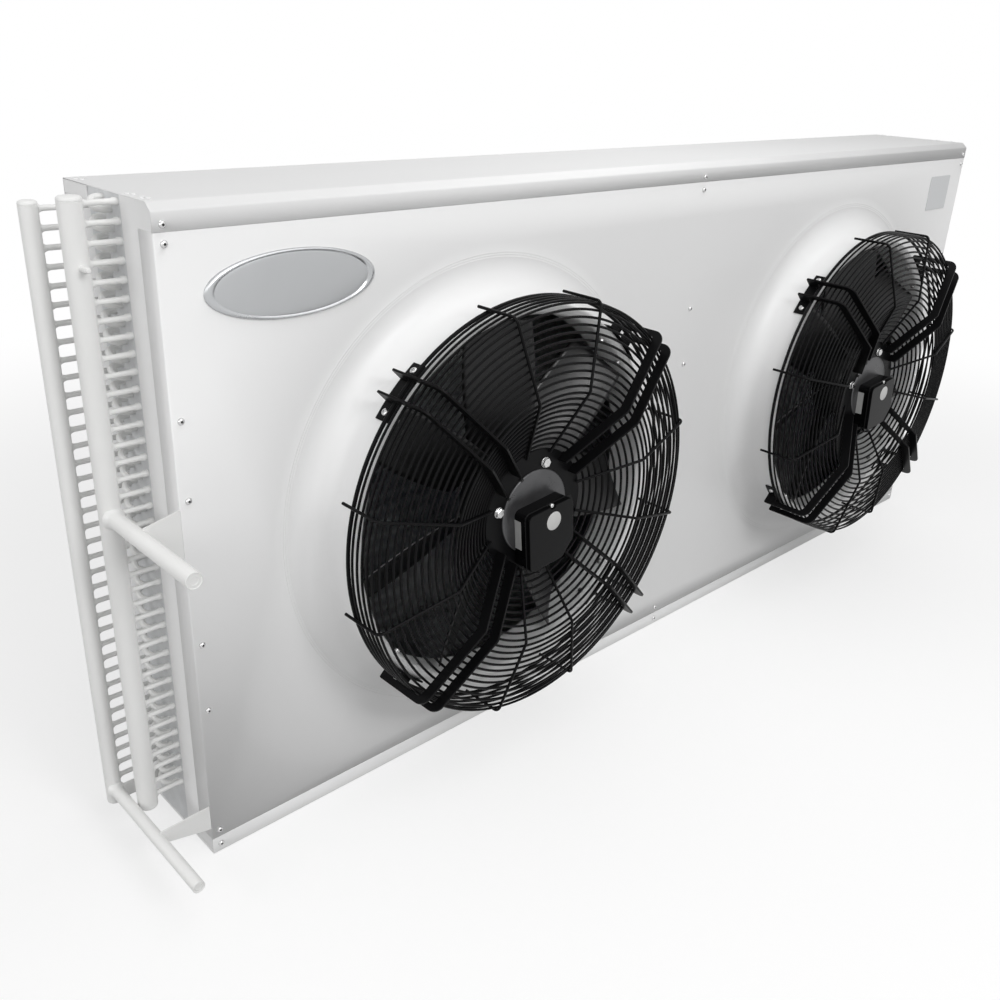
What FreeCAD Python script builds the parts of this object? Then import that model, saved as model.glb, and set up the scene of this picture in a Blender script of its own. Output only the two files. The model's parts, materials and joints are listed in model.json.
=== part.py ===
import FreeCAD, Part
import math
import os

# Air-cooled refrigeration condenser with two axial fans side by side.
# Frame: X along the casing, fans blow towards -Y, Z up, pipe headers at the -X end.
# Origin: centre of the casing's underside. All sizes in millimetres.

V = FreeCAD.Vector
X_AXIS = V(1, 0, 0)
Y_AXIS = V(0, 1, 0)
Z_AXIS = V(0, 0, 1)
ORIGIN = V(0, 0, 0)

# Casing
CASE_LENGTH = 2300.0
CASE_DEPTH = 264.0
CASE_HEIGHT = 1040.0
SHEET = 1.5
SEAT_GAP = 0.2
WIRE_SIDES = 6
TOP_BEVEL_DEPTH = 13.0
TOP_BEVEL_DROP = 11.0
TOP_FLANGE_DROP = 37.0
TOP_REAR_DROP = 25.0
TOP_END_DROP = 19.0
TRAY_FLANGE = 30.0
PANEL_RETURN = 40.0
POST_FLANGE = 30.0
EDGE_FLANGE = 15.0
FRONT_CHAMBER_DEPTH = 89.5
COIL_BAY_DEPTH = 96.5
FOOT_HOLE_RADIUS = 6.0
FOOT_HOLE_INSET = 60.0
FOOT_HOLE_FROM_EDGE = 30.0

# Screws of the front panel and rivets of the top cover
SCREW_INSET = 14.0
SCREW_SHANK_RADIUS = 2.0
SCREW_HOLE_CLEARANCE = 0.2
SCREW_SHANK_LENGTH = 9.0
SCREW_HEAD_RADIUS = 4.6
SCREW_HEAD_HEIGHT = 2.4
SCREW_PITCH = 118.0
SCREW_STEPS = (1, 2, 4)
FLANGE_SCREW_EDGE = 16.0
BAFFLE_SCREW_OFFSET = 10.0
RIVET_RADIUS = 1.8
RIVET_HEAD_RADIUS = 3.2
RIVET_HEAD_HEIGHT = 1.2
RIVET_LENGTH = 5.0
RIVET_INSET = 9.0
RIVET_PAIR_SPACING = 9.0
RIVET_EDGE_DISTANCE = 34.0

# Coil
CIRCUITS = 38
TUBE_PITCH = 25.4
ROW_PITCH = 22.0
ROWS = 4
TOP_TUBE_DROP = 10.5
FIRST_ROW_INSET = 7.0
TUBE_RADIUS = 4.76
TUBE_HOLE_CLEARANCE = 0.1
TUBE_STICK_OUT = 6.0
FIN_MARGIN = 11.0
FIN_BOTTOM_MARGIN = 13.0
FIN_END_GAP = 2.0
FIN_GROUP_PITCH = 20.0
FIN_GROOVE_WIDTH = 8.0
FIN_GROOVE_DEPTH = 2.5
TUBE_SHEET = 2.0
BASE_CHANNEL_SHEET = 2.0

# Headers, feeders and connection stubs
GAS_HEADER_RADIUS = 16.0
GAS_HEADER_OFFSET = 60.0
GAS_HEADER_BOTTOM = 78.0
GAS_HEADER_TOP = 1034.0
LIQUID_HEADER_RADIUS = 12.5
LIQUID_HEADER_OFFSET = 88.0
LIQUID_HEADER_BOTTOM = 62.0
LIQUID_HEADER_TOP = 1022.0
HEADER_WALL = 1.5
CAP_HEIGHT = 6.0
CAP_ROUND = 4.0
FEEDER_RADIUS = 4.0
BRAZE_CLEARANCE = 0.05
FEEDER_INSERT = 1.5
GAS_STUB_RADIUS = 12.5
GAS_STUB_HEIGHT = 598.0
GAS_STUB_REACH = 151.0
LIQUID_STUB_RADIUS = 10.0
LIQUID_STUB_HEIGHT = 84.0
LIQUID_STUB_REACH = 129.0
STUB_WALL = 1.5
STUB_SHOULDER = 0.6
STUB_SHOULDER_REACH = 1.0
STUB_INSERT = 3.0
PLUG_RECESS = 1.5
PLUG_THICKNESS = 3.0
PLUG_BEVEL = 1.0
PIPE_BRACKET_SHEET = 2.5
GAS_BRACKET_TOP = 26.0
GAS_BRACKET_BOTTOM = 51.0
LIQUID_BRACKET_TOP = 14.0
LIQUID_BRACKET_BOTTOM = 31.0
STRAP_SHEET = 2.5
STRAP_HEIGHT = 26.0
VALVE_HEIGHT = 952.0
VALVE_RADIUS = 4.4
VALVE_LENGTH = 15.0
VALVE_CAP_RADIUS = 3.6
VALVE_CAP_LENGTH = 5.0
VALVE_CAP_ROUND = 1.5

# Badge and nameplate, both blank
BADGE_LENGTH = 277.0
BADGE_HEIGHT = 96.0
BADGE_THICKNESS = 5.0
BADGE_BEVEL = 3.5
BADGE_FROM_END = 200.5
BADGE_FROM_TOP = 122.0
NAMEPLATE_LENGTH = 108.0
NAMEPLATE_HEIGHT = 85.0
NAMEPLATE_THICKNESS = 0.8
NAMEPLATE_FROM_END = 118.0
NAMEPLATE_FROM_TOP = 120.0

# Fan openings pressed out of the front panel. Reach is the distance in front of the panel.
FAN_SPACING = CASE_LENGTH / 2
FAN_AXIS_HEIGHT = 506.0
COLLAR_SHEET = 2.0
COLLAR_BASE_RADIUS = 397.5
COLLAR_RADIUS = 349.5
COLLAR_RIM_REACH = 90.5
THROAT_RADIUS = 328.5
THROAT_MOUTH_REACH = 10.0
MOUTH_ROUND = 12.0

# Impeller and motor
BLADES = 7
TIP_RADIUS = 320.0
HUB_RADIUS = 82.0
HUB_WALL = 5.0
HUB_FRONT_REACH = 104.0
HUB_REAR_REACH = 30.0
BLADE_START_ANGLE = 46.5
BLADE_MID_REACH = 50.0
BLADE_THICKNESS = 3.0
BLADE_CAMBER = 0.06
BLADE_STATIONS = 6
ROOT_HALF_WIDTH = 46.0
WIDEST_HALF_WIDTH = 92.0
TIP_HALF_WIDTH = 68.0
ROOT_HALF_DEPTH = 32.0
MIDDLE_HALF_DEPTH = 29.0
TIP_HALF_DEPTH = 19.0
PRESS_CLEARANCE = 0.1
ROTOR_WALL = 4.0
ROTOR_BACK = 5.0
ROTOR_FRONT_REACH = 112.0
AIR_GAP = 0.5
STATOR_FLANGE_RADIUS = 100.0
STATOR_FLANGE = 7.0
STATOR_REAR_GAP = 6.0
SHAFT_RADIUS = 8.0
RUNNING_CLEARANCE = 0.03
BEARING_RADIUS = 20.0
BEARING_WIDTH = 12.0
BEARING_INSET = 5.0

# Motor mount, its cover and the terminal box
MOUNT_PLATE_RADIUS = 112.0
MOUNT_PLATE_BORE = 50.0
MOUNT_PLATE = 4.0
MOUNT_PLATE_REACH = 131.0
MOUNT_BOLT_CIRCLE = 87.0
MOUNT_BOLT_ANGLE = 79.0
MOUNT_BOLT_RADIUS = 4.0
MOUNT_BOLT_LENGTH = 9.0
BOLT_CLEARANCE = 0.2
MOUNT_HEAD_FLATS = 15.0
MOUNT_HEAD_HEIGHT = 5.3
WASHER_RADIUS = 9.5
WASHER = 1.5
COVER_RADIUS = 76.0
COVER_THICKNESS = 7.0
COVER_BEVEL = 1.5
BOX_SIZE = 108.0
BOX_CORNER = 9.0
BOX_CHAMFER = 30.0
BOX_TURN = 4.0
BOX_CENTRE_X = 4.0
BOX_CENTRE_DROP = 37.0
BOX_DEPTH = 23.0
BOX_WALL = 3.0
LID_OVERHANG = 2.0
LID_THICKNESS = 9.0
LID_ROUND = 2.0
LID_SCREW_RADIUS = 3.4
LID_SCREW_HEIGHT = 1.6
LID_SCREW_INSET = 7.0
GLAND_RADIUS = 10.0
GLAND_OFFSET = 14.0
GLAND_LENGTH = 9.0
GLAND_DOME_RADIUS = 8.5
GLAND_DOME_LENGTH = 7.0

# Wire guard on four pairs of flat arms
SPOKE_RADIUS = 2.6
SPOKE_SIDE_RADIUS = 369.0
SPOKE_START_REACH = 78.0
SPOKE_CORNER_REACH = 163.0
SPOKE_KNEE_RADIUS = 224.0
SPOKE_KNEE_REACH = 187.0
SPOKE_FOOT_RADIUS = 106.0
SPOKE_BEND = 12.0
SPOKE_SPREAD = 15.0
RING_RADIUS = 2.2
BASE_RING_RADIUS = 3.4
BASE_RING_REACH = 97.0
RING_PITCH = 12.2
FIRST_RING_OVER_PLATE = 7.0
WELD_GAP = 0.05
ARM_SHEET = 4.0
ARM_HALF_SPACING = 20.0
ARM_WIDTH_SIDE = 12.0
ARM_WIDTH_FRONT = 19.0
ARM_FOOT_START_REACH = 64.0
ARM_FOOT_END_REACH = 89.0
ARM_CORNER = 22.0
ARM_HEEL = SPOKE_BEND - SPOKE_RADIUS
BRACKET_LENGTH = 104.0
BRACKET_WIDTH = 28.0
BRACKET_SHEET = 3.0
BRACKET_CORNER = 3.0
BRACKET_REACH = 62.0
BRACKET_BOLT_ANGLE = 6.2
BRACKET_BOLT_RADIUS = 3.0
BRACKET_HEAD_RADIUS = 6.2
BRACKET_HEAD_HEIGHT = 4.0
NUT_RADIUS = 5.5
NUT_HEIGHT = 4.0
BOLT_END_PROUD = 0.8

# Places worked out from the sizes above
FRONT_Y = -CASE_DEPTH / 2
REAR_Y = CASE_DEPTH / 2
HALF_LENGTH = CASE_LENGTH / 2
END_X = HALF_LENGTH - SHEET - SEAT_GAP
FLOOR_Z = SHEET + SEAT_GAP
CEILING_Z = CASE_HEIGHT - SHEET - SEAT_GAP
TOP_SEAM_Z = CASE_HEIGHT - TOP_FLANGE_DROP
COIL_FRONT_Y = FRONT_Y + FRONT_CHAMBER_DEPTH
COIL_REAR_Y = COIL_FRONT_Y + COIL_BAY_DEPTH
FIRST_ROW_Y = COIL_FRONT_Y + FIRST_ROW_INSET
LAST_ROW_Y = FIRST_ROW_Y + (ROWS - 1) * ROW_PITCH
TOP_TUBE_Z = CASE_HEIGHT - TOP_TUBE_DROP
LOW_TUBE_Z = TOP_TUBE_Z - (CIRCUITS - 1) * TUBE_PITCH
FIN_FRONT_Y = FIRST_ROW_Y - FIN_MARGIN
FIN_REAR_Y = LAST_ROW_Y + FIN_MARGIN
FIN_BOTTOM_Z = LOW_TUBE_Z - TUBE_PITCH / 2 - FIN_BOTTOM_MARGIN
FIN_HALF_LENGTH = END_X - TUBE_SHEET - EDGE_FLANGE - FIN_END_GAP
TUBE_END_X = END_X + TUBE_STICK_OUT
GAS_HEADER_X = -HALF_LENGTH - GAS_HEADER_OFFSET
LIQUID_HEADER_X = -HALF_LENGTH - LIQUID_HEADER_OFFSET
PANEL_MIDDLE_Z = (TOP_SEAM_Z + TRAY_FLANGE) / 2
FAN_CENTRES = {"left": V(-FAN_SPACING / 2, 0, FAN_AXIS_HEIGHT),
               "right": V(FAN_SPACING / 2, 0, FAN_AXIS_HEIGHT)}
BRACKET_FACE_RADIUS = COLLAR_RADIUS + SEAT_GAP + BRACKET_SHEET
ROTOR_RADIUS = HUB_RADIUS - HUB_WALL - PRESS_CLEARANCE
STATOR_RADIUS = ROTOR_RADIUS - ROTOR_WALL - AIR_GAP
ROTOR_REAR_REACH = HUB_REAR_REACH + HUB_WALL + PRESS_CLEARANCE
STATOR_REAR_REACH = ROTOR_REAR_REACH + ROTOR_BACK + STATOR_REAR_GAP
STATOR_FRONT_REACH = MOUNT_PLATE_REACH - MOUNT_PLATE - SEAT_GAP


# Basic solids

def box(x0, x1, y0, y1, z0, z1):
    return Part.makeBox(x1 - x0, y1 - y0, z1 - z0, V(x0, y0, z0))


def rod(start, end, radius):
    return Part.makeCylinder(radius, (end - start).Length, start, end - start)


def front_y(reach):
    return FRONT_Y - reach


def fan_rod(radius, reach_near, reach_far, x=0.0, z=0.0):
    return rod(V(x, front_y(reach_near), z), V(x, front_y(reach_far), z), radius)


def fan_ring(outer, inner, reach_near, reach_far):
    return fan_rod(outer, reach_near, reach_far).cut(fan_rod(inner, reach_near - 1, reach_far + 1))


def at_angle(shape, degrees):
    turned = shape.copy()
    turned.rotate(ORIGIN, -Y_AXIS, degrees)
    return turned


def moved(shape, offset):
    copy = shape.copy()
    copy.translate(offset)
    return copy


def mirrored_ends(shape):
    return shape.mirror(ORIGIN, X_AXIS)


def group(shapes):
    return Part.makeCompound(list(shapes))


def fused(shapes):
    return shapes[0].multiFuse(shapes[1:]).removeSplitter()


def on_both_fans(shape):
    return [moved(shape, centre) for centre in FAN_CENTRES.values()]


# Flat outlines

def unit(vector):
    return vector * (1 / vector.Length)


def rounded_wire(corners, closed=True):
    """Straight runs through the corners, each corner given as (point, radius)."""
    count = len(corners)
    edges = []
    starts = []
    ends = []
    for index, (point, radius) in enumerate(corners):
        if radius == 0 or (not closed and index in (0, count - 1)):
            starts.append(point)
            ends.append(point)
            continue
        back = unit(corners[index - 1][0] - point)
        ahead = unit(corners[(index + 1) % count][0] - point)
        half = back.getAngle(ahead) / 2
        run = radius / math.tan(half)
        middle = point + unit(back + ahead) * (radius / math.sin(half) - radius)
        starts.append(point + back * run)
        ends.append(point + ahead * run)
        edges.append(Part.Arc(starts[-1], middle, ends[-1]).toShape())
    for index in range(count if closed else count - 1):
        start = ends[index]
        end = starts[(index + 1) % count]
        if start.distanceToPoint(end) > 1e-6:
            edges.append(Part.makeLine(start, end))
    return Part.Wire(Part.__sortEdges__(edges))


def offset_points(points, distance):
    """The same run of flat (a, b) points moved sideways, to the left for a positive distance."""
    moved_points = []
    normals = []
    for (a0, b0), (a1, b1) in zip(points, points[1:]):
        length = math.hypot(a1 - a0, b1 - b0)
        normals.append(((b0 - b1) / length, (a1 - a0) / length))
    for index, (a, b) in enumerate(points):
        before = normals[max(index - 1, 0)]
        after = normals[min(index, len(normals) - 1)]
        scale = distance / (1 + before[0] * after[0] + before[1] * after[1])
        moved_points.append((a + (before[0] + after[0]) * scale, b + (before[1] + after[1]) * scale))
    return moved_points


def folded_sheet(points, thickness, start_x, end_x):
    """A sheet folded along X, from the (y, z) points of its outer skin and a thickness to their left."""
    outline = points + offset_points(points, thickness)[::-1]
    wire = rounded_wire([(V(start_x, y, z), 0) for y, z in outline])
    return Part.Face(wire).extrude(V(end_x - start_x, 0, 0))


def upright_sheet(points, thickness, bottom, top):
    """A sheet folded along Z, from the (x, y) points of its outer skin and a thickness to their left."""
    outline = points + offset_points(points, thickness)[::-1]
    wire = rounded_wire([(V(x, y, bottom), 0) for x, y in outline])
    return Part.Face(wire).extrude(V(0, 0, top - bottom))


def wire_section(centre, normal, facing, radius):
    """Six-sided section of a bent wire or tube with a flat towards the facing direction, light to mesh."""
    side = normal.cross(facing)
    corner = radius / math.cos(math.pi / WIRE_SIDES)
    angles = [(index + 0.5) * 2 * math.pi / WIRE_SIDES for index in range(WIRE_SIDES)]
    points = [centre + facing * (corner * math.cos(a)) + side * (corner * math.sin(a)) for a in angles]
    return rounded_wire([(point, 0) for point in points])


def revolved(points_wire):
    return Part.Face(points_wire).revolve(ORIGIN, Y_AXIS, 360)


# Screws and rivets of the casing

def screw_columns():
    return (-HALF_LENGTH + SCREW_INSET, -BAFFLE_SCREW_OFFSET, HALF_LENGTH - SCREW_INSET)


def screw_heights():
    middle = [PANEL_MIDDLE_Z + side * step * SCREW_PITCH for step in SCREW_STEPS for side in (-1, 1)]
    return middle + [FLANGE_SCREW_EDGE, TOP_SEAM_Z + TRAY_FLANGE - FLANGE_SCREW_EDGE - 3 * SHEET]


def panel_screw_places():
    return [V(x, FRONT_Y, z) for x in screw_columns() for z in screw_heights()]


def panel_screw(place):
    head = rod(place, place - Y_AXIS * SCREW_HEAD_HEIGHT, SCREW_HEAD_RADIUS)
    rim = [edge for edge in head.Edges if edge.Closed and edge.CenterOfMass.y < place.y - SCREW_HEAD_HEIGHT / 2]
    head = head.makeChamfer(SCREW_HEAD_HEIGHT / 2, rim)
    shank = rod(place, place + Y_AXIS * SCREW_SHANK_LENGTH, SCREW_SHANK_RADIUS)
    return head.fuse(shank).removeSplitter()


def screw_hole_cutters():
    radius = SCREW_SHANK_RADIUS + SCREW_HOLE_CLEARANCE
    return group(rod(place - Y_AXIS, place + Y_AXIS * SCREW_SHANK_LENGTH, radius)
                 for place in panel_screw_places())


def rivet_places():
    rows = (FRONT_Y + TOP_BEVEL_DEPTH + RIVET_EDGE_DISTANCE / 2, COIL_FRONT_Y - RIVET_INSET * 2,
            REAR_Y - RIVET_EDGE_DISTANCE)
    places = []
    for side in (-1, 1):
        for y in rows:
            for step in (0, 1):
                x = side * (END_X - RIVET_INSET + step * RIVET_PAIR_SPACING / 2 - RIVET_PAIR_SPACING / 4)
                places.append(V(x, y + step * RIVET_PAIR_SPACING, CASE_HEIGHT))
    return places


def top_rivet(place):
    head = rod(place, place + Z_AXIS * RIVET_HEAD_HEIGHT, RIVET_HEAD_RADIUS)
    return head.fuse(rod(place, place - Z_AXIS * RIVET_LENGTH, RIVET_RADIUS)).removeSplitter()


def rivet_hole_cutters():
    return group(rod(place + Z_AXIS, place - Z_AXIS * RIVET_LENGTH, RIVET_RADIUS + SCREW_HOLE_CLEARANCE)
                 for place in rivet_places())


# Casing sheets

def collar_profile():
    """Cross-section of the pressed ring: cove, outer wall, rolled rim, throat and mouth."""
    t = COLLAR_SHEET
    cove = COLLAR_BASE_RADIUS - COLLAR_RADIUS
    rim = (COLLAR_RADIUS - THROAT_RADIUS) / 2
    rim_reach = COLLAR_RIM_REACH - rim
    mouth_reach = THROAT_MOUTH_REACH + MOUTH_ROUND
    lap = COLLAR_BASE_RADIUS + cove / 2

    def point(radius, reach):
        return V(radius, front_y(reach), 0)

    def arc(centre, radius, start, end):
        middle = math.radians((start + end) / 2)
        ends = [point(centre[0] + radius * math.cos(math.radians(a)),
                      centre[1] + radius * math.sin(math.radians(a))) for a in (start, end)]
        crown = point(centre[0] + radius * math.cos(middle), centre[1] + radius * math.sin(middle))
        return Part.Arc(ends[0], crown, ends[1]).toShape()

    cove_centre = (COLLAR_BASE_RADIUS, cove)
    rim_centre = (COLLAR_RADIUS - rim, rim_reach)
    mouth_centre = (THROAT_RADIUS + MOUTH_ROUND, mouth_reach)
    edges = [
        Part.makeLine(point(lap, 0), point(COLLAR_BASE_RADIUS, 0)),
        arc(cove_centre, cove, 270, 180),
        Part.makeLine(point(COLLAR_RADIUS, cove), point(COLLAR_RADIUS, rim_reach)),
        arc(rim_centre, rim, 0, 180),
        Part.makeLine(point(THROAT_RADIUS, rim_reach), point(THROAT_RADIUS, mouth_reach)),
        arc(mouth_centre, MOUTH_ROUND, 180, 270),
        Part.makeLine(point(mouth_centre[0], THROAT_MOUTH_REACH), point(mouth_centre[0], THROAT_MOUTH_REACH + t)),
        arc(mouth_centre, MOUTH_ROUND - t, 270, 180),
        Part.makeLine(point(THROAT_RADIUS + t, mouth_reach), point(THROAT_RADIUS + t, rim_reach)),
        arc(rim_centre, rim - t, 180, 0),
        Part.makeLine(point(COLLAR_RADIUS - t, rim_reach), point(COLLAR_RADIUS - t, cove)),
        arc(cove_centre, cove + t, 180, 270),
        Part.makeLine(point(COLLAR_BASE_RADIUS, -t), point(lap, -t)),
        Part.makeLine(point(lap, -t), point(lap, 0)),
    ]
    return Part.Wire(edges)


def front_panel():
    """The flat front with a pressed collar round each fan and a return at each end."""
    skin = [(-HALF_LENGTH, FRONT_Y + PANEL_RETURN), (-HALF_LENGTH, FRONT_Y),
            (HALF_LENGTH, FRONT_Y), (HALF_LENGTH, FRONT_Y + PANEL_RETURN)]
    sheet = upright_sheet(skin, SHEET, TRAY_FLANGE + SEAT_GAP, TOP_SEAM_Z - SEAT_GAP)
    collar = revolved(collar_profile())
    opening = fan_rod(COLLAR_BASE_RADIUS, -2 * COLLAR_SHEET, COLLAR_SHEET)
    for centre in FAN_CENTRES.values():
        sheet = sheet.cut(moved(opening, centre))
    sheet = sheet.fuse([moved(collar, centre) for centre in FAN_CENTRES.values()]).removeSplitter()
    holes = []
    for angle in bracket_angles():
        for side in (-1, 1):
            holes.append(at_angle(bracket_bolt_hole(side), angle))
    cutters = [moved(hole, centre) for hole in holes for centre in FAN_CENTRES.values()]
    return sheet.cut(group(cutters + [screw_hole_cutters()]))


def top_cover():
    skin = [(REAR_Y, CASE_HEIGHT - TOP_REAR_DROP), (REAR_Y, CASE_HEIGHT),
            (FRONT_Y + TOP_BEVEL_DEPTH, CASE_HEIGHT), (FRONT_Y, CASE_HEIGHT - TOP_BEVEL_DROP),
            (FRONT_Y, TOP_SEAM_Z)]
    sheet = folded_sheet(skin, SHEET, -HALF_LENGTH, HALF_LENGTH)
    flange = box(-HALF_LENGTH, -HALF_LENGTH + SHEET, COIL_REAR_Y, REAR_Y - SHEET / 2,
                 CASE_HEIGHT - TOP_END_DROP, CASE_HEIGHT - SHEET / 2)
    sheet = fused([sheet, flange, mirrored_ends(flange)])
    return sheet.cut(group([screw_hole_cutters(), rivet_hole_cutters()]))


def foot_hole_places():
    return [V(x_side * (HALF_LENGTH - FOOT_HOLE_INSET), y_side * (REAR_Y - FOOT_HOLE_FROM_EDGE), 0)
            for x_side in (-1, 1) for y_side in (-1, 1)]


def base_tray():
    skin = [(FRONT_Y, TRAY_FLANGE), (FRONT_Y, 0), (REAR_Y, 0), (REAR_Y, TRAY_FLANGE)]
    sheet = folded_sheet(skin, SHEET, -HALF_LENGTH, HALF_LENGTH)
    holes = [rod(place - Z_AXIS, place + Z_AXIS * 2 * SHEET, FOOT_HOLE_RADIUS) for place in foot_hole_places()]
    return sheet.cut(group(holes + [screw_hole_cutters()]))


def under_cover(shape):
    """The part of a sheet that fits inside the covers, under the bevelled front edge."""
    skin = [(REAR_Y, 0), (REAR_Y, CASE_HEIGHT), (FRONT_Y + TOP_BEVEL_DEPTH, CASE_HEIGHT),
            (FRONT_Y, CASE_HEIGHT - TOP_BEVEL_DROP), (FRONT_Y, 0)]
    inside = offset_points(skin, SHEET + SEAT_GAP)
    wire = rounded_wire([(V(-HALF_LENGTH, y, z), 0) for y, z in inside])
    return shape.common(Part.Face(wire).extrude(V(CASE_LENGTH, 0, 0)))


def end_panel(skin_side, near_y, far_y, near_flange, far_flange):
    """One flat end sheet at the -X end with a flange turned inwards at each edge and at the top."""
    skin = [(-END_X + far_flange, far_y), (-END_X, far_y), (-END_X, near_y), (-END_X + near_flange, near_y)]
    sheet = upright_sheet(skin, skin_side, FLOOR_Z, CEILING_Z)
    top = box(-END_X, -END_X + EDGE_FLANGE, near_y + skin_side, far_y - skin_side,
              CEILING_Z - skin_side, CEILING_Z)
    return sheet.fuse(top).removeSplitter()


def front_end_panel():
    panel = end_panel(SHEET, FRONT_Y + SHEET + SEAT_GAP, COIL_FRONT_Y, POST_FLANGE, EDGE_FLANGE)
    return under_cover(panel).cut(group([screw_hole_cutters(), rivet_hole_cutters()]))


def rear_end_panel():
    panel = end_panel(SHEET, COIL_REAR_Y, REAR_Y - SHEET - SEAT_GAP, EDGE_FLANGE, POST_FLANGE)
    return panel.cut(rivet_hole_cutters())


def centre_baffle():
    skin = [(-POST_FLANGE, FRONT_Y + SHEET + SEAT_GAP), (SHEET / 2, FRONT_Y + SHEET + SEAT_GAP),
            (SHEET / 2, FIN_FRONT_Y - SEAT_GAP)]
    return under_cover(upright_sheet(skin, SHEET, FLOOR_Z, CEILING_Z)).cut(screw_hole_cutters())


def blank_badge():
    centre = V(-HALF_LENGTH + BADGE_FROM_END, FRONT_Y - SEAT_GAP, CASE_HEIGHT - BADGE_FROM_TOP)
    ellipse = Part.Ellipse(ORIGIN, BADGE_LENGTH / 2, BADGE_HEIGHT / 2).toShape()
    plate = Part.Face(Part.Wire(ellipse)).extrude(V(0, 0, BADGE_THICKNESS))
    plate = plate.makeChamfer(BADGE_BEVEL, [edge for edge in plate.Edges
                                            if edge.CenterOfMass.z > BADGE_THICKNESS / 2 and edge.Closed])
    plate.rotate(ORIGIN, X_AXIS, 90)
    return moved(plate, centre)


def blank_nameplate():
    x = HALF_LENGTH - NAMEPLATE_FROM_END
    z = CASE_HEIGHT - NAMEPLATE_FROM_TOP
    y = FRONT_Y - SEAT_GAP
    return box(x - NAMEPLATE_LENGTH / 2, x + NAMEPLATE_LENGTH / 2, y - NAMEPLATE_THICKNESS, y,
               z - NAMEPLATE_HEIGHT / 2, z + NAMEPLATE_HEIGHT / 2)


# Coil

def tube_height(row, circuit):
    """Rows stand staggered by half a pitch, every second one lower."""
    return TOP_TUBE_Z - circuit * TUBE_PITCH - (row % 2) * TUBE_PITCH / 2


def tube_places():
    return [V(0, FIRST_ROW_Y + row * ROW_PITCH, tube_height(row, circuit))
            for row in range(ROWS) for circuit in range(CIRCUITS)]


def tube_cutters(radius, start_x, end_x):
    return group(rod(place + X_AXIS * start_x, place + X_AXIS * end_x, radius) for place in tube_places())


def coil_tubes():
    return tube_cutters(TUBE_RADIUS, -TUBE_END_X, TUBE_END_X)


def tube_sheet():
    plate = end_panel(TUBE_SHEET, COIL_FRONT_Y + SEAT_GAP, COIL_REAR_Y - SEAT_GAP, EDGE_FLANGE, EDGE_FLANGE)
    return plate.cut(tube_cutters(TUBE_RADIUS + TUBE_HOLE_CLEARANCE, -TUBE_END_X, -END_X + 2 * TUBE_SHEET))


def fin_pack():
    """The fins as one block, its two faces grooved between groups of fins."""
    block = box(-FIN_HALF_LENGTH, FIN_HALF_LENGTH, FIN_FRONT_Y, FIN_REAR_Y, FIN_BOTTOM_Z, CEILING_Z - SEAT_GAP)
    grooves = []
    count = int(2 * FIN_HALF_LENGTH / FIN_GROUP_PITCH)
    start = -count * FIN_GROUP_PITCH / 2
    for index in range(count):
        x = start + (index + 0.5) * FIN_GROUP_PITCH
        for y in (FIN_FRONT_Y, FIN_REAR_Y):
            grooves.append(box(x - FIN_GROOVE_WIDTH / 2, x + FIN_GROOVE_WIDTH / 2,
                               y - FIN_GROOVE_DEPTH, y + FIN_GROOVE_DEPTH, 0, CASE_HEIGHT))
    block = block.cut(group(grooves))
    return block.cut(tube_cutters(TUBE_RADIUS + TUBE_HOLE_CLEARANCE, -HALF_LENGTH, HALF_LENGTH))


def coil_base_channel():
    """Channel under the fins that closes the gap to the tray."""
    skin = [(FIN_FRONT_Y, FLOOR_Z), (FIN_FRONT_Y, FIN_BOTTOM_Z - SEAT_GAP),
            (FIN_REAR_Y, FIN_BOTTOM_Z - SEAT_GAP), (FIN_REAR_Y, FLOOR_Z)]
    return folded_sheet(skin[::-1], BASE_CHANNEL_SHEET, -FIN_HALF_LENGTH, FIN_HALF_LENGTH)


def u_bend(first, second, side):
    """Half a turn of tube from one tube end to the other, bulging outwards at that end."""
    start = first + X_AXIS * side * TUBE_END_X
    end = second + X_AXIS * side * TUBE_END_X
    section = Part.Face(wire_section(start, X_AXIS, unit(end - start), TUBE_RADIUS))
    axis = (end - start).cross(X_AXIS * side)
    return section.revolve((start + end) * 0.5, axis, -180)


def bends_between(near_row, side):
    bends = []
    for circuit in range(CIRCUITS):
        first = V(0, FIRST_ROW_Y + near_row * ROW_PITCH, tube_height(near_row, circuit))
        second = V(0, FIRST_ROW_Y + (near_row + 1) * ROW_PITCH, tube_height(near_row + 1, circuit))
        bends.append(u_bend(first, second, side))
    return bends


# Headers

def header(x, y, radius, bottom, top, feeder_row, stub_radius, stub_height):
    """An upright pipe with a hole for every feeder and one for its stub."""
    pipe = rod(V(x, y, bottom), V(x, y, top), radius)
    bore = rod(V(x, y, bottom - 1), V(x, y, top + 1), radius - HEADER_WALL)
    holes = [rod(V(x, y, z), V(x + 2 * radius, y, z), FEEDER_RADIUS + BRAZE_CLEARANCE)
             for z in (tube_height(feeder_row, circuit) for circuit in range(CIRCUITS))]
    holes.append(rod(V(x, y, stub_height), V(x, y - 2 * radius, stub_height), stub_radius - STUB_SHOULDER + BRAZE_CLEARANCE))
    return pipe.cut(group([bore] + holes))


def gas_header():
    pipe = header(GAS_HEADER_X, FIRST_ROW_Y, GAS_HEADER_RADIUS, GAS_HEADER_BOTTOM, GAS_HEADER_TOP,
                  0, GAS_STUB_RADIUS, GAS_STUB_HEIGHT)
    start = V(GAS_HEADER_X, FIRST_ROW_Y, VALVE_HEIGHT)
    return pipe.cut(rod(start, start - Y_AXIS * 2 * GAS_HEADER_RADIUS, VALVE_RADIUS + BRAZE_CLEARANCE))


def liquid_header():
    return header(LIQUID_HEADER_X, LAST_ROW_Y, LIQUID_HEADER_RADIUS, LIQUID_HEADER_BOTTOM,
                  LIQUID_HEADER_TOP, ROWS - 1, LIQUID_STUB_RADIUS, LIQUID_STUB_HEIGHT)


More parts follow.
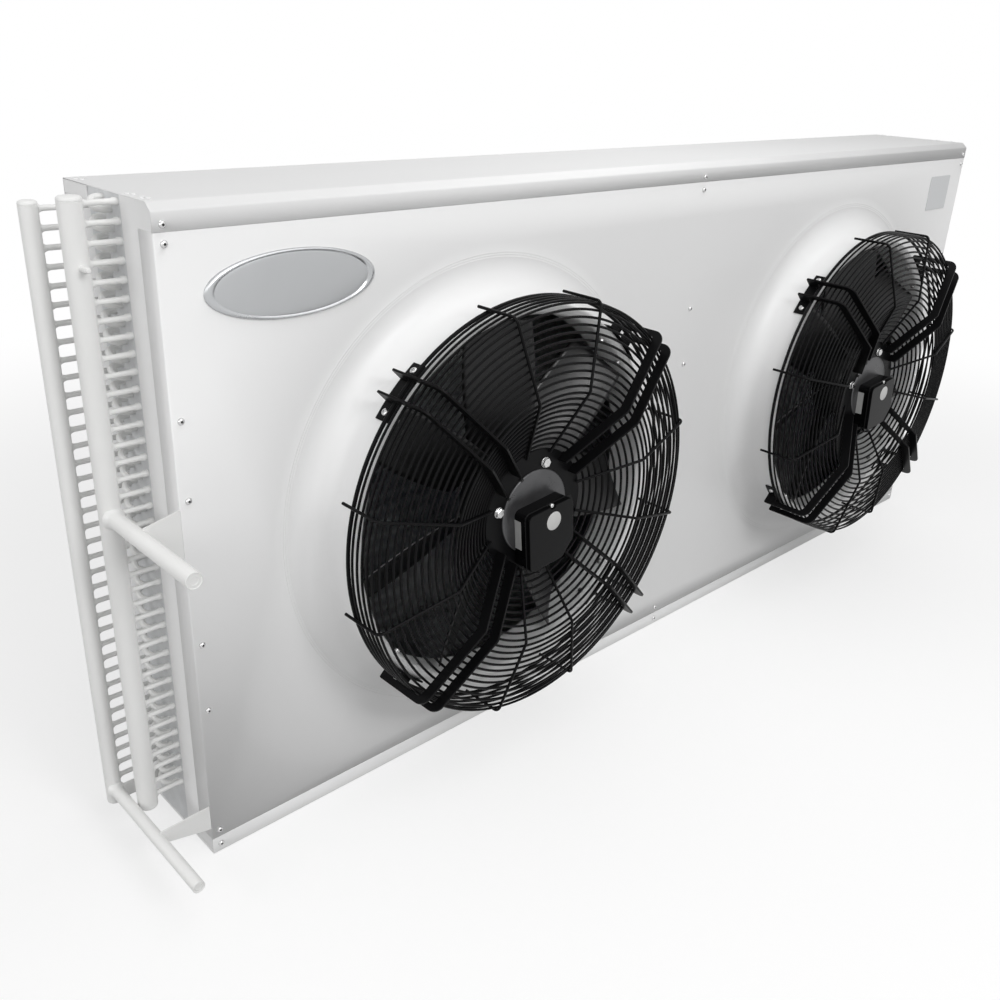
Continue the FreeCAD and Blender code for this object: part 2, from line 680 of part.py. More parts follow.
def end_cap(x, y, z, radius, direction):
    cap = Part.makeCylinder(radius, CAP_HEIGHT, ORIGIN, Z_AXIS)
    rim = [edge for edge in cap.Edges if edge.Closed and edge.CenterOfMass.z > CAP_HEIGHT / 2]
    cap = cap.makeFillet(CAP_ROUND, rim)
    if direction < 0:
        cap.rotate(ORIGIN, X_AXIS, 180)
    return moved(cap, V(x, y, z))


def header_caps():
    return group([
        end_cap(GAS_HEADER_X, FIRST_ROW_Y, GAS_HEADER_TOP, GAS_HEADER_RADIUS, 1),
        end_cap(GAS_HEADER_X, FIRST_ROW_Y, GAS_HEADER_BOTTOM, GAS_HEADER_RADIUS, -1),
        end_cap(LIQUID_HEADER_X, LAST_ROW_Y, LIQUID_HEADER_TOP, LIQUID_HEADER_RADIUS, 1),
        end_cap(LIQUID_HEADER_X, LAST_ROW_Y, LIQUID_HEADER_BOTTOM, LIQUID_HEADER_RADIUS, -1)])


def feeders(header_x, header_radius, row):
    """One straight branch per circuit, from inside the header wall to the end of its coil tube."""
    y = FIRST_ROW_Y + row * ROW_PITCH
    start_x = header_x + header_radius - HEADER_WALL - FEEDER_INSERT
    return group(rod(V(start_x, y, z), V(-TUBE_END_X, y, z), FEEDER_RADIUS)
                 for z in (tube_height(row, circuit) for circuit in range(CIRCUITS)))


def stub(header_x, header_y, header_radius, radius, height, reach):
    """A pipe from the header, widened from its bracket to its free end."""
    start = V(header_x, header_y - header_radius + STUB_INSERT, height)
    shoulder = V(header_x, front_y(STUB_SHOULDER_REACH), height)
    end = V(header_x, front_y(reach), height)
    pipe = rod(start, shoulder, radius - STUB_SHOULDER).fuse(rod(shoulder, end, radius))
    return pipe.cut(rod(start + Y_AXIS, end - Y_AXIS, radius - STUB_WALL))


def stub_plug(header_x, radius, height, reach):
    """The closing disc inside a stub's open end."""
    face = V(header_x, front_y(reach) + PLUG_RECESS, height)
    disc = rod(face, face + Y_AXIS * PLUG_THICKNESS, radius - STUB_WALL - BRAZE_CLEARANCE)
    rim = [edge for edge in disc.Edges if edge.Closed and edge.CenterOfMass.y < face.y + PLUG_BEVEL]
    return disc.makeChamfer(PLUG_BEVEL, rim)


def pipe_bracket(header_x, radius, height, above, below):
    """A flat gusset from the casing's corner to a stub, with a saddle for the pipe."""
    y = FRONT_Y + SEAT_GAP
    edge_x = -HALF_LENGTH - SEAT_GAP
    saddle_x = header_x + radius / 3
    corners = [V(edge_x, y, height + above), V(edge_x, y, height - below),
               V(saddle_x, y, height - radius * 1.1), V(saddle_x, y, height + radius * 1.1)]
    plate = Part.Face(rounded_wire([(corner, 0) for corner in corners])).extrude(Y_AXIS * PIPE_BRACKET_SHEET)
    pipe = rod(V(header_x, y - 1, height), V(header_x, y + 2 * PIPE_BRACKET_SHEET, height),
               radius - STUB_SHOULDER + BRAZE_CLEARANCE)
    return plate.cut(pipe)


def liquid_header_strap():
    y = LAST_ROW_Y - LIQUID_HEADER_RADIUS - BRAZE_CLEARANCE
    middle = LIQUID_STUB_HEIGHT - LIQUID_STUB_RADIUS / 2
    return box(LIQUID_HEADER_X + LIQUID_STUB_RADIUS + SEAT_GAP, -END_X - SEAT_GAP, y - STRAP_SHEET, y,
               middle - STRAP_HEIGHT / 2, middle + STRAP_HEIGHT / 2)


def vent_valve():
    start = V(GAS_HEADER_X, FIRST_ROW_Y - GAS_HEADER_RADIUS + STUB_INSERT, VALVE_HEIGHT)
    shoulder = start - Y_AXIS * (STUB_INSERT + VALVE_LENGTH)
    stem = rod(start, shoulder, VALVE_RADIUS)
    tip = shoulder - Y_AXIS * VALVE_CAP_LENGTH
    cap = rod(shoulder, tip, VALVE_CAP_RADIUS)
    rim = [edge for edge in cap.Edges if edge.Closed and edge.CenterOfMass.y < tip.y + VALVE_CAP_ROUND]
    return stem.fuse(cap.makeFillet(VALVE_CAP_ROUND, rim)).removeSplitter()


# Impeller: cambered, twisted blades lofted through their sections and trimmed to the tip circle

def through_three(share, root, middle, tip):
    """Smooth change from root to tip that passes through the middle value half way."""
    return root + share * (4 * middle - 3 * root - tip) + share ** 2 * 2 * (root + tip - 2 * middle)


def blade_section(radius):
    share = (radius - HUB_RADIUS) / (TIP_RADIUS - HUB_RADIUS)
    half_width = through_three(share, ROOT_HALF_WIDTH, WIDEST_HALF_WIDTH, TIP_HALF_WIDTH)
    half_depth = through_three(share, ROOT_HALF_DEPTH, MIDDLE_HALF_DEPTH, TIP_HALF_DEPTH)
    half_chord = math.hypot(half_width, half_depth)
    sag = 2 * half_chord * BLADE_CAMBER
    half = BLADE_THICKNESS / 2
    edge = half / 3

    def skin(along, bulge):
        tangential = half_width * along - half_depth / half_chord * bulge
        reach = BLADE_MID_REACH - half_depth * along - half_width / half_chord * bulge
        return V(radius, front_y(reach), tangential)

    back = Part.Arc(skin(-1, edge), skin(0, sag + half), skin(1, edge)).toShape()
    face = Part.Arc(skin(1, -edge), skin(0, sag - half), skin(-1, -edge)).toShape()
    return Part.Wire([back, Part.makeLine(skin(1, edge), skin(1, -edge)), face,
                      Part.makeLine(skin(-1, -edge), skin(-1, edge))])


def blade():
    inner = HUB_RADIUS - HUB_WALL / 2
    step = (TIP_RADIUS - inner) / (BLADE_STATIONS - 1)
    root = inner - step / 3
    stations = [root] + [inner + index * step for index in range(1, BLADE_STATIONS)] + [TIP_RADIUS + step / 3]
    loft = Part.makeLoft([blade_section(radius) for radius in stations], True, False)
    trim = fan_ring(TIP_RADIUS, inner, -HUB_REAR_REACH, HUB_FRONT_REACH * 2)
    return loft.common(trim)


def impeller():
    shell = fan_ring(HUB_RADIUS, HUB_RADIUS - HUB_WALL, HUB_REAR_REACH, HUB_FRONT_REACH)
    back = fan_ring(HUB_RADIUS - HUB_WALL / 2, ROTOR_RADIUS / 2, HUB_REAR_REACH, HUB_REAR_REACH + HUB_WALL)
    one = blade()
    blades = [at_angle(one, BLADE_START_ANGLE + index * 360 / BLADES) for index in range(BLADES)]
    return fused([shell, back] + blades)


def rotor_can():
    can = fan_rod(ROTOR_RADIUS, ROTOR_REAR_REACH, ROTOR_FRONT_REACH)
    hollow = fan_rod(ROTOR_RADIUS - ROTOR_WALL, ROTOR_REAR_REACH + ROTOR_BACK, ROTOR_FRONT_REACH + 1)
    bore = fan_rod(SHAFT_RADIUS + PRESS_CLEARANCE, 0, ROTOR_FRONT_REACH)
    return can.cut(hollow).cut(bore)


def motor_shaft():
    return fan_rod(SHAFT_RADIUS, ROTOR_REAR_REACH, STATOR_FRONT_REACH - STATOR_REAR_GAP)


def bearing_reaches():
    rear = STATOR_REAR_REACH + BEARING_INSET
    front = STATOR_FRONT_REACH - STATOR_FLANGE - BEARING_INSET - BEARING_WIDTH
    return rear, front


def motor_bearings():
    return group(fan_ring(BEARING_RADIUS, SHAFT_RADIUS + RUNNING_CLEARANCE, reach, reach + BEARING_WIDTH)
                 for reach in bearing_reaches())


def mount_bolt_angles():
    return [MOUNT_BOLT_ANGLE + quarter * 90 for quarter in range(4)]


def mount_bolt_cutters():
    hole = fan_rod(MOUNT_BOLT_RADIUS + BOLT_CLEARANCE, 0, 2 * MOUNT_PLATE_REACH, MOUNT_BOLT_CIRCLE)
    return group(at_angle(hole, angle) for angle in mount_bolt_angles())


def motor_stator():
    """Fixed inner part of the motor: a flange, the wound core and the bearing bore."""
    core = fan_rod(STATOR_RADIUS, STATOR_REAR_REACH, STATOR_FRONT_REACH)
    flange = fan_rod(STATOR_FLANGE_RADIUS, STATOR_FRONT_REACH - STATOR_FLANGE, STATOR_FRONT_REACH)
    bore = fan_rod(BEARING_RADIUS + PRESS_CLEARANCE, 0, STATOR_FRONT_REACH - SEAT_GAP)
    return core.fuse(flange).removeSplitter().cut(bore).cut(mount_bolt_cutters())


# Motor mount and terminal box

def mount_plate():
    plate = fan_ring(MOUNT_PLATE_RADIUS, MOUNT_PLATE_BORE, MOUNT_PLATE_REACH - MOUNT_PLATE, MOUNT_PLATE_REACH)
    return plate.cut(mount_bolt_cutters())


def hexagon_prism(flats, reach_near, reach_far, x):
    corner = flats / math.sqrt(3)
    y = front_y(reach_near)
    points = [V(x + corner * math.cos(math.radians(a)), y, corner * math.sin(math.radians(a)))
              for a in range(0, 360, 60)]
    return Part.Face(rounded_wire([(p, 0) for p in points])).extrude(V(0, front_y(reach_far) - y, 0))


def mount_bolts():
    near = MOUNT_PLATE_REACH
    washer = fan_rod(WASHER_RADIUS, near, near + WASHER, MOUNT_BOLT_CIRCLE)
    head = hexagon_prism(MOUNT_HEAD_FLATS, near + WASHER, near + WASHER + MOUNT_HEAD_HEIGHT, MOUNT_BOLT_CIRCLE)
    shank = fan_rod(MOUNT_BOLT_RADIUS, near - MOUNT_BOLT_LENGTH, near, MOUNT_BOLT_CIRCLE)
    bolt = fused([washer, head, shank])
    return [at_angle(bolt, angle) for angle in mount_bolt_angles()]


def stator_cover():
    near = MOUNT_PLATE_REACH
    disc = fan_rod(COVER_RADIUS, near, near + COVER_THICKNESS)
    rim = [edge for edge in disc.Edges if edge.Closed and edge.CenterOfMass.y < front_y(near + COVER_BEVEL)]
    return disc.makeChamfer(COVER_BEVEL, rim)


def box_wire(half, reach, corner):
    """Square with rounded corners and its lower right corner cut off."""
    y = front_y(reach)
    cut = BOX_CHAMFER + (half - BOX_SIZE / 2)
    corners = [(-half, half), (half, half), (half, -half + cut), (half - cut, -half), (-half, -half)]
    wire = rounded_wire([(V(x, y, z), corner) for x, z in corners])
    wire.rotate(ORIGIN, -Y_AXIS, BOX_TURN)
    wire.translate(V(BOX_CENTRE_X, 0, -BOX_CENTRE_DROP))
    return wire


def box_prism(half, reach_near, reach_far, corner):
    return Part.Face(box_wire(half, reach_near, corner)).extrude(-Y_AXIS * (reach_far - reach_near))


def terminal_box_reach():
    return MOUNT_PLATE_REACH + COVER_THICKNESS + SEAT_GAP


def terminal_box():
    near = terminal_box_reach()
    far = near + BOX_DEPTH
    half = BOX_SIZE / 2
    outer = box_prism(half, near, far, BOX_CORNER)
    inner = box_prism(half - BOX_WALL, near + BOX_WALL, far + 1, BOX_CORNER - BOX_WALL)
    return outer.cut(inner)


def terminal_lid():
    near = terminal_box_reach() + BOX_DEPTH + SEAT_GAP
    far = near + LID_THICKNESS
    lid = box_prism(BOX_SIZE / 2 + LID_OVERHANG, near, far, BOX_CORNER + LID_OVERHANG)
    rim = [edge for edge in lid.Edges if edge.CenterOfMass.y < front_y(far) + LID_ROUND / 4]
    return lid.makeFillet(LID_ROUND, rim)


def box_frame_point(x, z, reach):
    turn = math.radians(BOX_TURN)
    return V(BOX_CENTRE_X + x * math.cos(turn) - z * math.sin(turn), front_y(reach),
             -BOX_CENTRE_DROP + x * math.sin(turn) + z * math.cos(turn))


def lid_screw():
    reach = terminal_box_reach() + BOX_DEPTH + SEAT_GAP + LID_THICKNESS
    seat = box_frame_point(0, BOX_SIZE / 2 - LID_SCREW_INSET, reach)
    return rod(seat, seat - Y_AXIS * LID_SCREW_HEIGHT, LID_SCREW_RADIUS)


def cable_gland():
    """Closed cable entry on the underside of the box."""
    reach = terminal_box_reach() + BOX_DEPTH / 2
    edge = -BOX_SIZE / 2 - SEAT_GAP
    seat = box_frame_point(-GLAND_OFFSET, edge, reach)
    outward = unit(box_frame_point(-GLAND_OFFSET, edge - 1, reach) - seat)
    nut = Part.makeCylinder(GLAND_RADIUS, GLAND_LENGTH, seat, outward)
    dome = Part.makeCylinder(GLAND_DOME_RADIUS, GLAND_DOME_LENGTH, seat + outward * GLAND_LENGTH, outward)
    return nut.fuse(dome).removeSplitter()


# Wire guard

def spoke_line():
    """(radius, reach) points of a spoke's centre line, from its free end to the motor plate."""
    return [(SPOKE_SIDE_RADIUS, SPOKE_START_REACH), (SPOKE_SIDE_RADIUS, SPOKE_CORNER_REACH),
            (SPOKE_KNEE_RADIUS, SPOKE_KNEE_REACH),
            (SPOKE_FOOT_RADIUS, MOUNT_PLATE_REACH + SPOKE_RADIUS + WELD_GAP)]


def guard_line(offset):
    """The spoke line moved inwards, towards the impeller."""
    return offset_points(spoke_line(), offset)


def spoke_path():
    return rounded_wire([(V(radius, front_y(reach), 0), SPOKE_BEND) for radius, reach in spoke_line()],
                        closed=False)


def spoke():
    start = V(SPOKE_SIDE_RADIUS, front_y(SPOKE_START_REACH), 0)
    section = wire_section(start, Y_AXIS, X_AXIS, SPOKE_RADIUS)
    return spoke_path().makePipeShell([section], True, False)


def spoke_angles():
    return [quarter * 90 + side * SPOKE_SPREAD for quarter in range(4) for side in (-1, 1)]


def ring_places():
    """Even steps along the spoke, as the points at which the rings lie behind its centre line."""
    line = guard_line(SPOKE_RADIUS + WELD_GAP + RING_RADIUS)
    places = []
    along = BASE_RING_REACH + RING_PITCH - SPOKE_START_REACH
    for (r0, a0), (r1, a1) in zip(line, line[1:]):
        length = math.hypot(r1 - r0, a1 - a0)
        while along <= length:
            share = along / length
            places.append(V(r0 + (r1 - r0) * share, front_y(a0 + (a1 - a0) * share), 0))
            along += RING_PITCH
        along -= length
    smallest = MOUNT_PLATE_RADIUS + FIRST_RING_OVER_PLATE
    return [place for place in places if place.x > smallest]


def wire_ring(centre, facing, wire_radius):
    return Part.Face(wire_section(centre, Z_AXIS, facing, wire_radius)).revolve(ORIGIN, Y_AXIS, 360)


def guard_base_ring():
    radius = SPOKE_SIDE_RADIUS - SPOKE_RADIUS - WELD_GAP - BASE_RING_RADIUS
    return wire_ring(V(radius, front_y(BASE_RING_REACH), 0), X_AXIS, BASE_RING_RADIUS)


def guard_ring(place, path):
    """A ring with a flat on the spoke, also where the spoke is bent."""
    touch = path.distToShape(Part.Vertex(place))[1][0][0]
    facing = unit(touch - place)
    return wire_ring(touch - facing * (SPOKE_RADIUS + WELD_GAP + RING_RADIUS), facing, RING_RADIUS)


def guard_rings():
    path = spoke_path()
    return [guard_ring(place, path) for place in ring_places()]


def arm_line(offset):
    """The spoke line as the arms meet it, since they stand beside the plane through the fan's axis."""
    near = ARM_HALF_SPACING - ARM_SHEET / 2
    beside = (near, near, near + ARM_SHEET, near + ARM_SHEET)
    return [(math.sqrt(radius ** 2 - step ** 2), reach)
            for (radius, reach), step in zip(guard_line(offset), beside)]


def slope(first, second):
    return (second[1] - first[1]) / (second[0] - first[0])


def guard_arm():
    """A flat plate on edge: foot on the bracket, side run, rounded corner, knee and tongue on the motor plate."""
    inner = arm_line(SPOKE_RADIUS - SEAT_GAP)
    outer_front = arm_line(SPOKE_RADIUS - ARM_WIDTH_FRONT)
    side_radius = inner[0][0] + ARM_WIDTH_SIDE
    foot = math.sqrt(BRACKET_FACE_RADIUS ** 2 - (ARM_HALF_SPACING - ARM_SHEET / 2) ** 2)
    toe = SPOKE_FOOT_RADIUS - ARM_WIDTH_SIDE
    plate_face = MOUNT_PLATE_REACH + WELD_GAP
    plate_rim = inner[3][1] + (MOUNT_PLATE_RADIUS - inner[3][0]) * slope(inner[2], inner[3])
    side_reach = outer_front[2][1] + (side_radius - outer_front[2][0]) * slope(outer_front[1], outer_front[2])
    points = [
        (foot, ARM_FOOT_START_REACH, 0), (side_radius, ARM_FOOT_START_REACH, 3),
        (side_radius, side_reach, ARM_CORNER), (outer_front[2][0], outer_front[2][1], ARM_HEEL),
        (toe, plate_face + ARM_WIDTH_FRONT, 3), (toe, plate_face, 0), (MOUNT_PLATE_RADIUS, plate_face, 0),
        (MOUNT_PLATE_RADIUS, plate_rim, 0),
        (inner[2][0], inner[2][1], ARM_HEEL), (inner[1][0], inner[1][1], ARM_HEEL),
        (inner[0][0], ARM_FOOT_END_REACH, 0), (foot, ARM_FOOT_END_REACH, 0)]
    wire = rounded_wire([(V(radius, front_y(reach), ARM_HALF_SPACING - ARM_SHEET / 2), bend)
                         for radius, reach, bend in points])
    return Part.Face(wire).extrude(Z_AXIS * ARM_SHEET)


def guard_arm_pair():
    arm = guard_arm()
    return [arm, arm.mirror(ORIGIN, Z_AXIS)]


def bracket_angles():
    return [45 + quarter * 90 for quarter in range(4)]


def bracket_bolt_hole(side):
    reach = BRACKET_REACH + BRACKET_WIDTH / 2
    hole = rod(V(BRACKET_FACE_RADIUS + BRACKET_SHEET, front_y(reach), 0),
               V(THROAT_RADIUS - BRACKET_SHEET, front_y(reach), 0),
               BRACKET_BOLT_RADIUS + BOLT_CLEARANCE)
    return at_angle(hole, side * BRACKET_BOLT_ANGLE)


def guard_bracket():
    """Plate rolled to the pressed ring, with two bolt holes."""
    half = BRACKET_LENGTH / 2
    near = front_y(BRACKET_REACH)
    far = front_y(BRACKET_REACH + BRACKET_WIDTH)
    ring = fan_ring(BRACKET_FACE_RADIUS, COLLAR_RADIUS + SEAT_GAP, BRACKET_REACH, BRACKET_REACH + BRACKET_WIDTH)
    wire = rounded_wire([(V(0, near, -half), BRACKET_CORNER), (V(0, far, -half), BRACKET_CORNER),
                         (V(0, far, half), BRACKET_CORNER), (V(0, near, half), BRACKET_CORNER)])
    plate = ring.common(Part.Face(wire).extrude(X_AXIS * 2 * COLLAR_RADIUS))
    return plate.cut(group(bracket_bolt_hole(side) for side in (-1, 1)))


def bracket_bolt(side):
    seat = V(BRACKET_FACE_RADIUS, front_y(BRACKET_REACH + BRACKET_WIDTH / 2), 0)
    crown = seat + X_AXIS * BRACKET_HEAD_HEIGHT
    head = rod(seat, crown, BRACKET_HEAD_RADIUS)
    rim = [edge for edge in head.Edges if edge.Closed and edge.CenterOfMass.x > crown.x - BRACKET_HEAD_HEIGHT / 2]
    head = head.makeChamfer(BRACKET_HEAD_HEIGHT / 2, rim)
    end = V(THROAT_RADIUS - SEAT_GAP - NUT_HEIGHT - BOLT_END_PROUD, seat.y, 0)
    shank = rod(seat, end, BRACKET_BOLT_RADIUS)
    return at_angle(head.fuse(shank).removeSplitter(), side * BRACKET_BOLT_ANGLE)


def bracket_nut(side):
    """The nut on the throat's wall, inside the fan opening."""
    seat = V(THROAT_RADIUS - SEAT_GAP, front_y(BRACKET_REACH + BRACKET_WIDTH / 2), 0)
    nut = rod(seat, seat - X_AXIS * NUT_HEIGHT, NUT_RADIUS)
    bore = rod(seat + X_AXIS, seat - X_AXIS * 2 * NUT_HEIGHT, BRACKET_BOLT_RADIUS + BRAZE_CLEARANCE)
    return at_angle(nut.cut(bore), side * BRACKET_BOLT_ANGLE)


def around(shapes, angles):
    return group(at_angle(shape, angle) for angle in angles for shape in shapes)


# Whole object

def casing_nodes():
    end = front_end_panel()
    rear = rear_end_panel()
    sheet = tube_sheet()
    return {
        "front_panel": front_panel(),
        "top_cover": top_cover(),
        "base_tray": base_tray(),
        "left_front_end_panel": end,
        "right_front_end_panel": mirrored_ends(end),
        "left_rear_end_panel": rear,
        "right_rear_end_panel": mirrored_ends(rear),
        "centre_baffle": centre_baffle(),
        "left_tube_sheet": sheet,
        "right_tube_sheet": mirrored_ends(sheet),
        "panel_screws": group(panel_screw(place) for place in panel_screw_places()),
        "cover_rivets": group(top_rivet(place) for place in rivet_places()),
        "blank_badge": blank_badge(),
        "blank_nameplate": blank_nameplate(),
    }


def coil_nodes():
    return {
        "fin_pack": fin_pack(),
        "coil_tubes": coil_tubes(),
        "coil_base_channel": coil_base_channel(),
        "left_return_bends": group(bends_between(1, -1)),
        "right_return_bends": group(bends_between(0, 1) + bends_between(2, 1)),
    }


def pipe_nodes():
    return {
        "gas_header": gas_header(),
        "liquid_header": liquid_header(),
        "header_caps": header_caps(),
        "gas_feeders": feeders(GAS_HEADER_X, GAS_HEADER_RADIUS, 0),
        "liquid_feeders": feeders(LIQUID_HEADER_X, LIQUID_HEADER_RADIUS, ROWS - 1),
        "gas_stub": stub(GAS_HEADER_X, FIRST_ROW_Y, GAS_HEADER_RADIUS, GAS_STUB_RADIUS,
                         GAS_STUB_HEIGHT, GAS_STUB_REACH),
        "liquid_stub": stub(LIQUID_HEADER_X, LAST_ROW_Y, LIQUID_HEADER_RADIUS, LIQUID_STUB_RADIUS,
                            LIQUID_STUB_HEIGHT, LIQUID_STUB_REACH),
        "stub_plugs": group([stub_plug(GAS_HEADER_X, GAS_STUB_RADIUS, GAS_STUB_HEIGHT, GAS_STUB_REACH),
                             stub_plug(LIQUID_HEADER_X, LIQUID_STUB_RADIUS, LIQUID_STUB_HEIGHT,
                                       LIQUID_STUB_REACH)]),
        "gas_pipe_bracket": pipe_bracket(GAS_HEADER_X, GAS_STUB_RADIUS, GAS_STUB_HEIGHT,
                                         GAS_BRACKET_TOP, GAS_BRACKET_BOTTOM),
        "liquid_pipe_bracket": pipe_bracket(LIQUID_HEADER_X, LIQUID_STUB_RADIUS, LIQUID_STUB_HEIGHT,
                                            LIQUID_BRACKET_TOP, LIQUID_BRACKET_BOTTOM),
        "liquid_header_strap": liquid_header_strap(),
        "vent_valve": vent_valve(),
    }


def fan_nodes():
    """Pieces of one fan about its axis, before they are set in place."""
    return {
        "guard_rings": group(guard_rings()),
        "guard_spokes": around([spoke()], spoke_angles()),
        "guard_arms": around(guard_arm_pair(), bracket_angles()),
        "motor_mount_plate": mount_plate(),
        "motor_stator": motor_stator(),
        "stator_cover": stator_cover(),
        "terminal_box": terminal_box(),
        "terminal_lid": terminal_lid(),
        "motor_shaft": motor_shaft(),
        "rotor_can": rotor_can(),
        "impeller": impeller(),
    }


def shared_fan_nodes():
    bolts = [make(side) for side in (-1, 1) for make in (bracket_bolt, bracket_nut)]
    return {
        "guard_brackets": group(on_both_fans(around([guard_bracket()], bracket_angles()))),
        "motor_bearings": group(on_both_fans(motor_bearings())),
        "bracket_bolts": group(on_both_fans(around(bolts, bracket_angles()))),
        "guard_base_rings": group(on_both_fans(guard_base_ring())),
        "motor_mount_bolts": group(on_both_fans(group(mount_bolts()))),
        "lid_screws": group(on_both_fans(lid_screw())),
        "cable_glands": group(on_both_fans(cable_gland())),
    }


def all_nodes():
    nodes = {}
    nodes.update(casing_nodes())
    nodes.update(coil_nodes())
    nodes.update(pipe_nodes())
    nodes.update(shared_fan_nodes())
    for name, shape in fan_nodes().items():
        for side, centre in FAN_CENTRES.items():
            nodes[side + "_" + name] = moved(shape, centre)
    return nodes


os.makedirs("parts", exist_ok=True)
for node_name, node_shape in all_nodes().items():
    node_shape.exportStep("parts/" + node_name + ".step")
    print(node_name, len(node_shape.Solids), round(node_shape.Volume), node_shape.isValid())
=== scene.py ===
import json
import math

import bmesh
import bpy
from mathutils import Matrix, Vector


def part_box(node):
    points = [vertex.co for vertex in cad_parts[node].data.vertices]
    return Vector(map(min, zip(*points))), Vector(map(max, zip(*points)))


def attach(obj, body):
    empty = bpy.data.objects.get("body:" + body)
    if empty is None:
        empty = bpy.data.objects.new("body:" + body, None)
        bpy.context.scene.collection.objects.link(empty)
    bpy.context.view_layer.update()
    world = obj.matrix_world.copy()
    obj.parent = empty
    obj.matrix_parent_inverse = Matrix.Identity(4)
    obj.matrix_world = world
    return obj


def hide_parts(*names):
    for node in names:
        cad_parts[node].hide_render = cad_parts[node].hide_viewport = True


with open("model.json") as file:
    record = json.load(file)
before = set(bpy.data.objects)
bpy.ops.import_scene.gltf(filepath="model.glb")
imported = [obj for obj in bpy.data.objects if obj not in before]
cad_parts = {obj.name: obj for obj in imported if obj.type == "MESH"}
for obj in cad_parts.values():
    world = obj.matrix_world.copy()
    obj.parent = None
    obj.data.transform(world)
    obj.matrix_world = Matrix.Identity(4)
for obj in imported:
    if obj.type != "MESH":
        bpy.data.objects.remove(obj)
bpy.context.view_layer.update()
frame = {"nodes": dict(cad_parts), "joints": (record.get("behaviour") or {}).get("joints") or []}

# Sizes in millimetres: X along the casing, fans blow towards -Y, Z up.
# Reach is the distance in front of the panel.
MM = 0.001
CASE_LOW, CASE_HIGH = [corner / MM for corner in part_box("top_cover")]
HALF, FRONT, REAR, HEIGHT = CASE_HIGH.x, CASE_LOW.y, CASE_HIGH.y, CASE_HIGH.z
SEAM = CASE_LOW.z
TRAY_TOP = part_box("base_tray")[1].z / MM
SHEET = 1.5
SEAM_GAP = 0.3
FAN_PLACES = {joint["name"].split("_")[0]: Vector(joint["pos_m"]) / MM for joint in frame["joints"]}
FANS = {side: Vector((place.x, 0, place.z)) for side, place in FAN_PLACES.items()}

ORIGIN = Vector((0, 0, 0))
FORWARD = Vector((0, -1, 0))
UP = Vector((0, 0, 1))
ALONG = Vector((1, 0, 0))


# Shaping tools. A part is a bmesh in millimetres until piece() finishes it.

def strip(bm, points, closed=False):
    """A run of vertices joined by edges."""
    verts = [bm.verts.new(point) for point in points]
    ends = verts[1:] + verts[:1] if closed else verts[1:]
    return verts + [bm.edges.new(pair) for pair in zip(verts, ends)]


def tidy(bm):
    """Merges doubles and points every face outwards."""
    bmesh.ops.remove_doubles(bm, verts=bm.verts, dist=0.001)
    bmesh.ops.recalc_face_normals(bm, faces=bm.faces)
    return bm


def lathe(profile, place, axis, steps, closed=False):
    """Spins a profile of (radius, height) points about an axis through a place."""
    bm = bmesh.new()
    side = axis.orthogonal().normalized()
    geom = strip(bm, [place + side * radius + axis * height for radius, height in profile], closed)
    bmesh.ops.spin(bm, geom=geom, cent=place, axis=axis, angle=2 * math.pi, steps=steps, use_merge=True)
    return tidy(bm)


def fan_lathe(profile, steps=96, closed=False):
    """Spins a profile of (radius, reach) points about a fan's axis."""
    return lathe(profile, Vector((0, FRONT, 0)), FORWARD, steps, closed)


def arc(centre, radius, start, end, steps):
    """Points of an arc between two angles in degrees."""
    turn = (end - start) / steps
    angles = [math.radians(start + turn * step) for step in range(steps + 1)]
    return [(centre[0] + radius * math.cos(a), centre[1] + radius * math.sin(a)) for a in angles]


def pulled(bm, face, move):
    """Extrudes a face and gives back its moved copy."""
    made = bmesh.ops.extrude_face_region(bm, geom=[face, *face.edges, *face.verts])["geom"]
    bmesh.ops.translate(bm, verts=[item for item in made if isinstance(item, bmesh.types.BMVert)], vec=move)
    return next(item for item in made if isinstance(item, bmesh.types.BMFace))


def slab(corners, thickness, steps=6):
    """A flat outline of (point, corner radius) made solid."""
    bm = bmesh.new()
    verts = [bm.verts.new(point) for point, radius in corners]
    bm.faces.new(verts)
    for index, (point, radius) in enumerate(corners):
        if radius:
            back = corners[index - 1][0] - point
            ahead = corners[(index + 1) % len(corners)][0] - point
            bmesh.ops.bevel(bm, geom=[verts[index]], offset=radius / math.tan(back.angle(ahead) / 2),
                            offset_type="OFFSET", segments=steps, profile=0.5, affect="VERTICES", material=-1)
    pulled(bm, next(iter(bm.faces)), thickness)
    return tidy(bm)


def bent_wire(corners, radius, bend, sides=12, steps=5):
    """A round wire or pipe: extruded along each run and spun round each bend."""
    bm = bmesh.new()
    heading = (corners[1] - corners[0]).normalized()
    turn = UP.rotation_difference(heading).to_matrix().to_4x4()
    section = bmesh.ops.create_circle(bm, cap_ends=True, segments=sides, radius=radius,
                                      matrix=Matrix.Translation(corners[0]) @ turn)
    face = section["verts"][0].link_faces[0]
    here = corners[0]
    for corner, after in zip(corners[1:], corners[2:]):
        ahead = (after - corner).normalized()
        angle = heading.angle(ahead)
        run = bend * math.tan(angle / 2)
        stop = corner - heading * run
        face = pulled(bm, face, stop - here)
        axis = heading.cross(ahead).normalized()
        made = bmesh.ops.spin(bm, geom=[face, *face.edges, *face.verts], axis=axis, angle=angle, steps=steps,
                              cent=stop + axis.cross(heading) * bend)
        face = next(item for item in made["geom_last"] if isinstance(item, bmesh.types.BMFace))
        here = corner + ahead * run
        heading = ahead
    pulled(bm, face, corners[-1] - here)
    return tidy(bm)


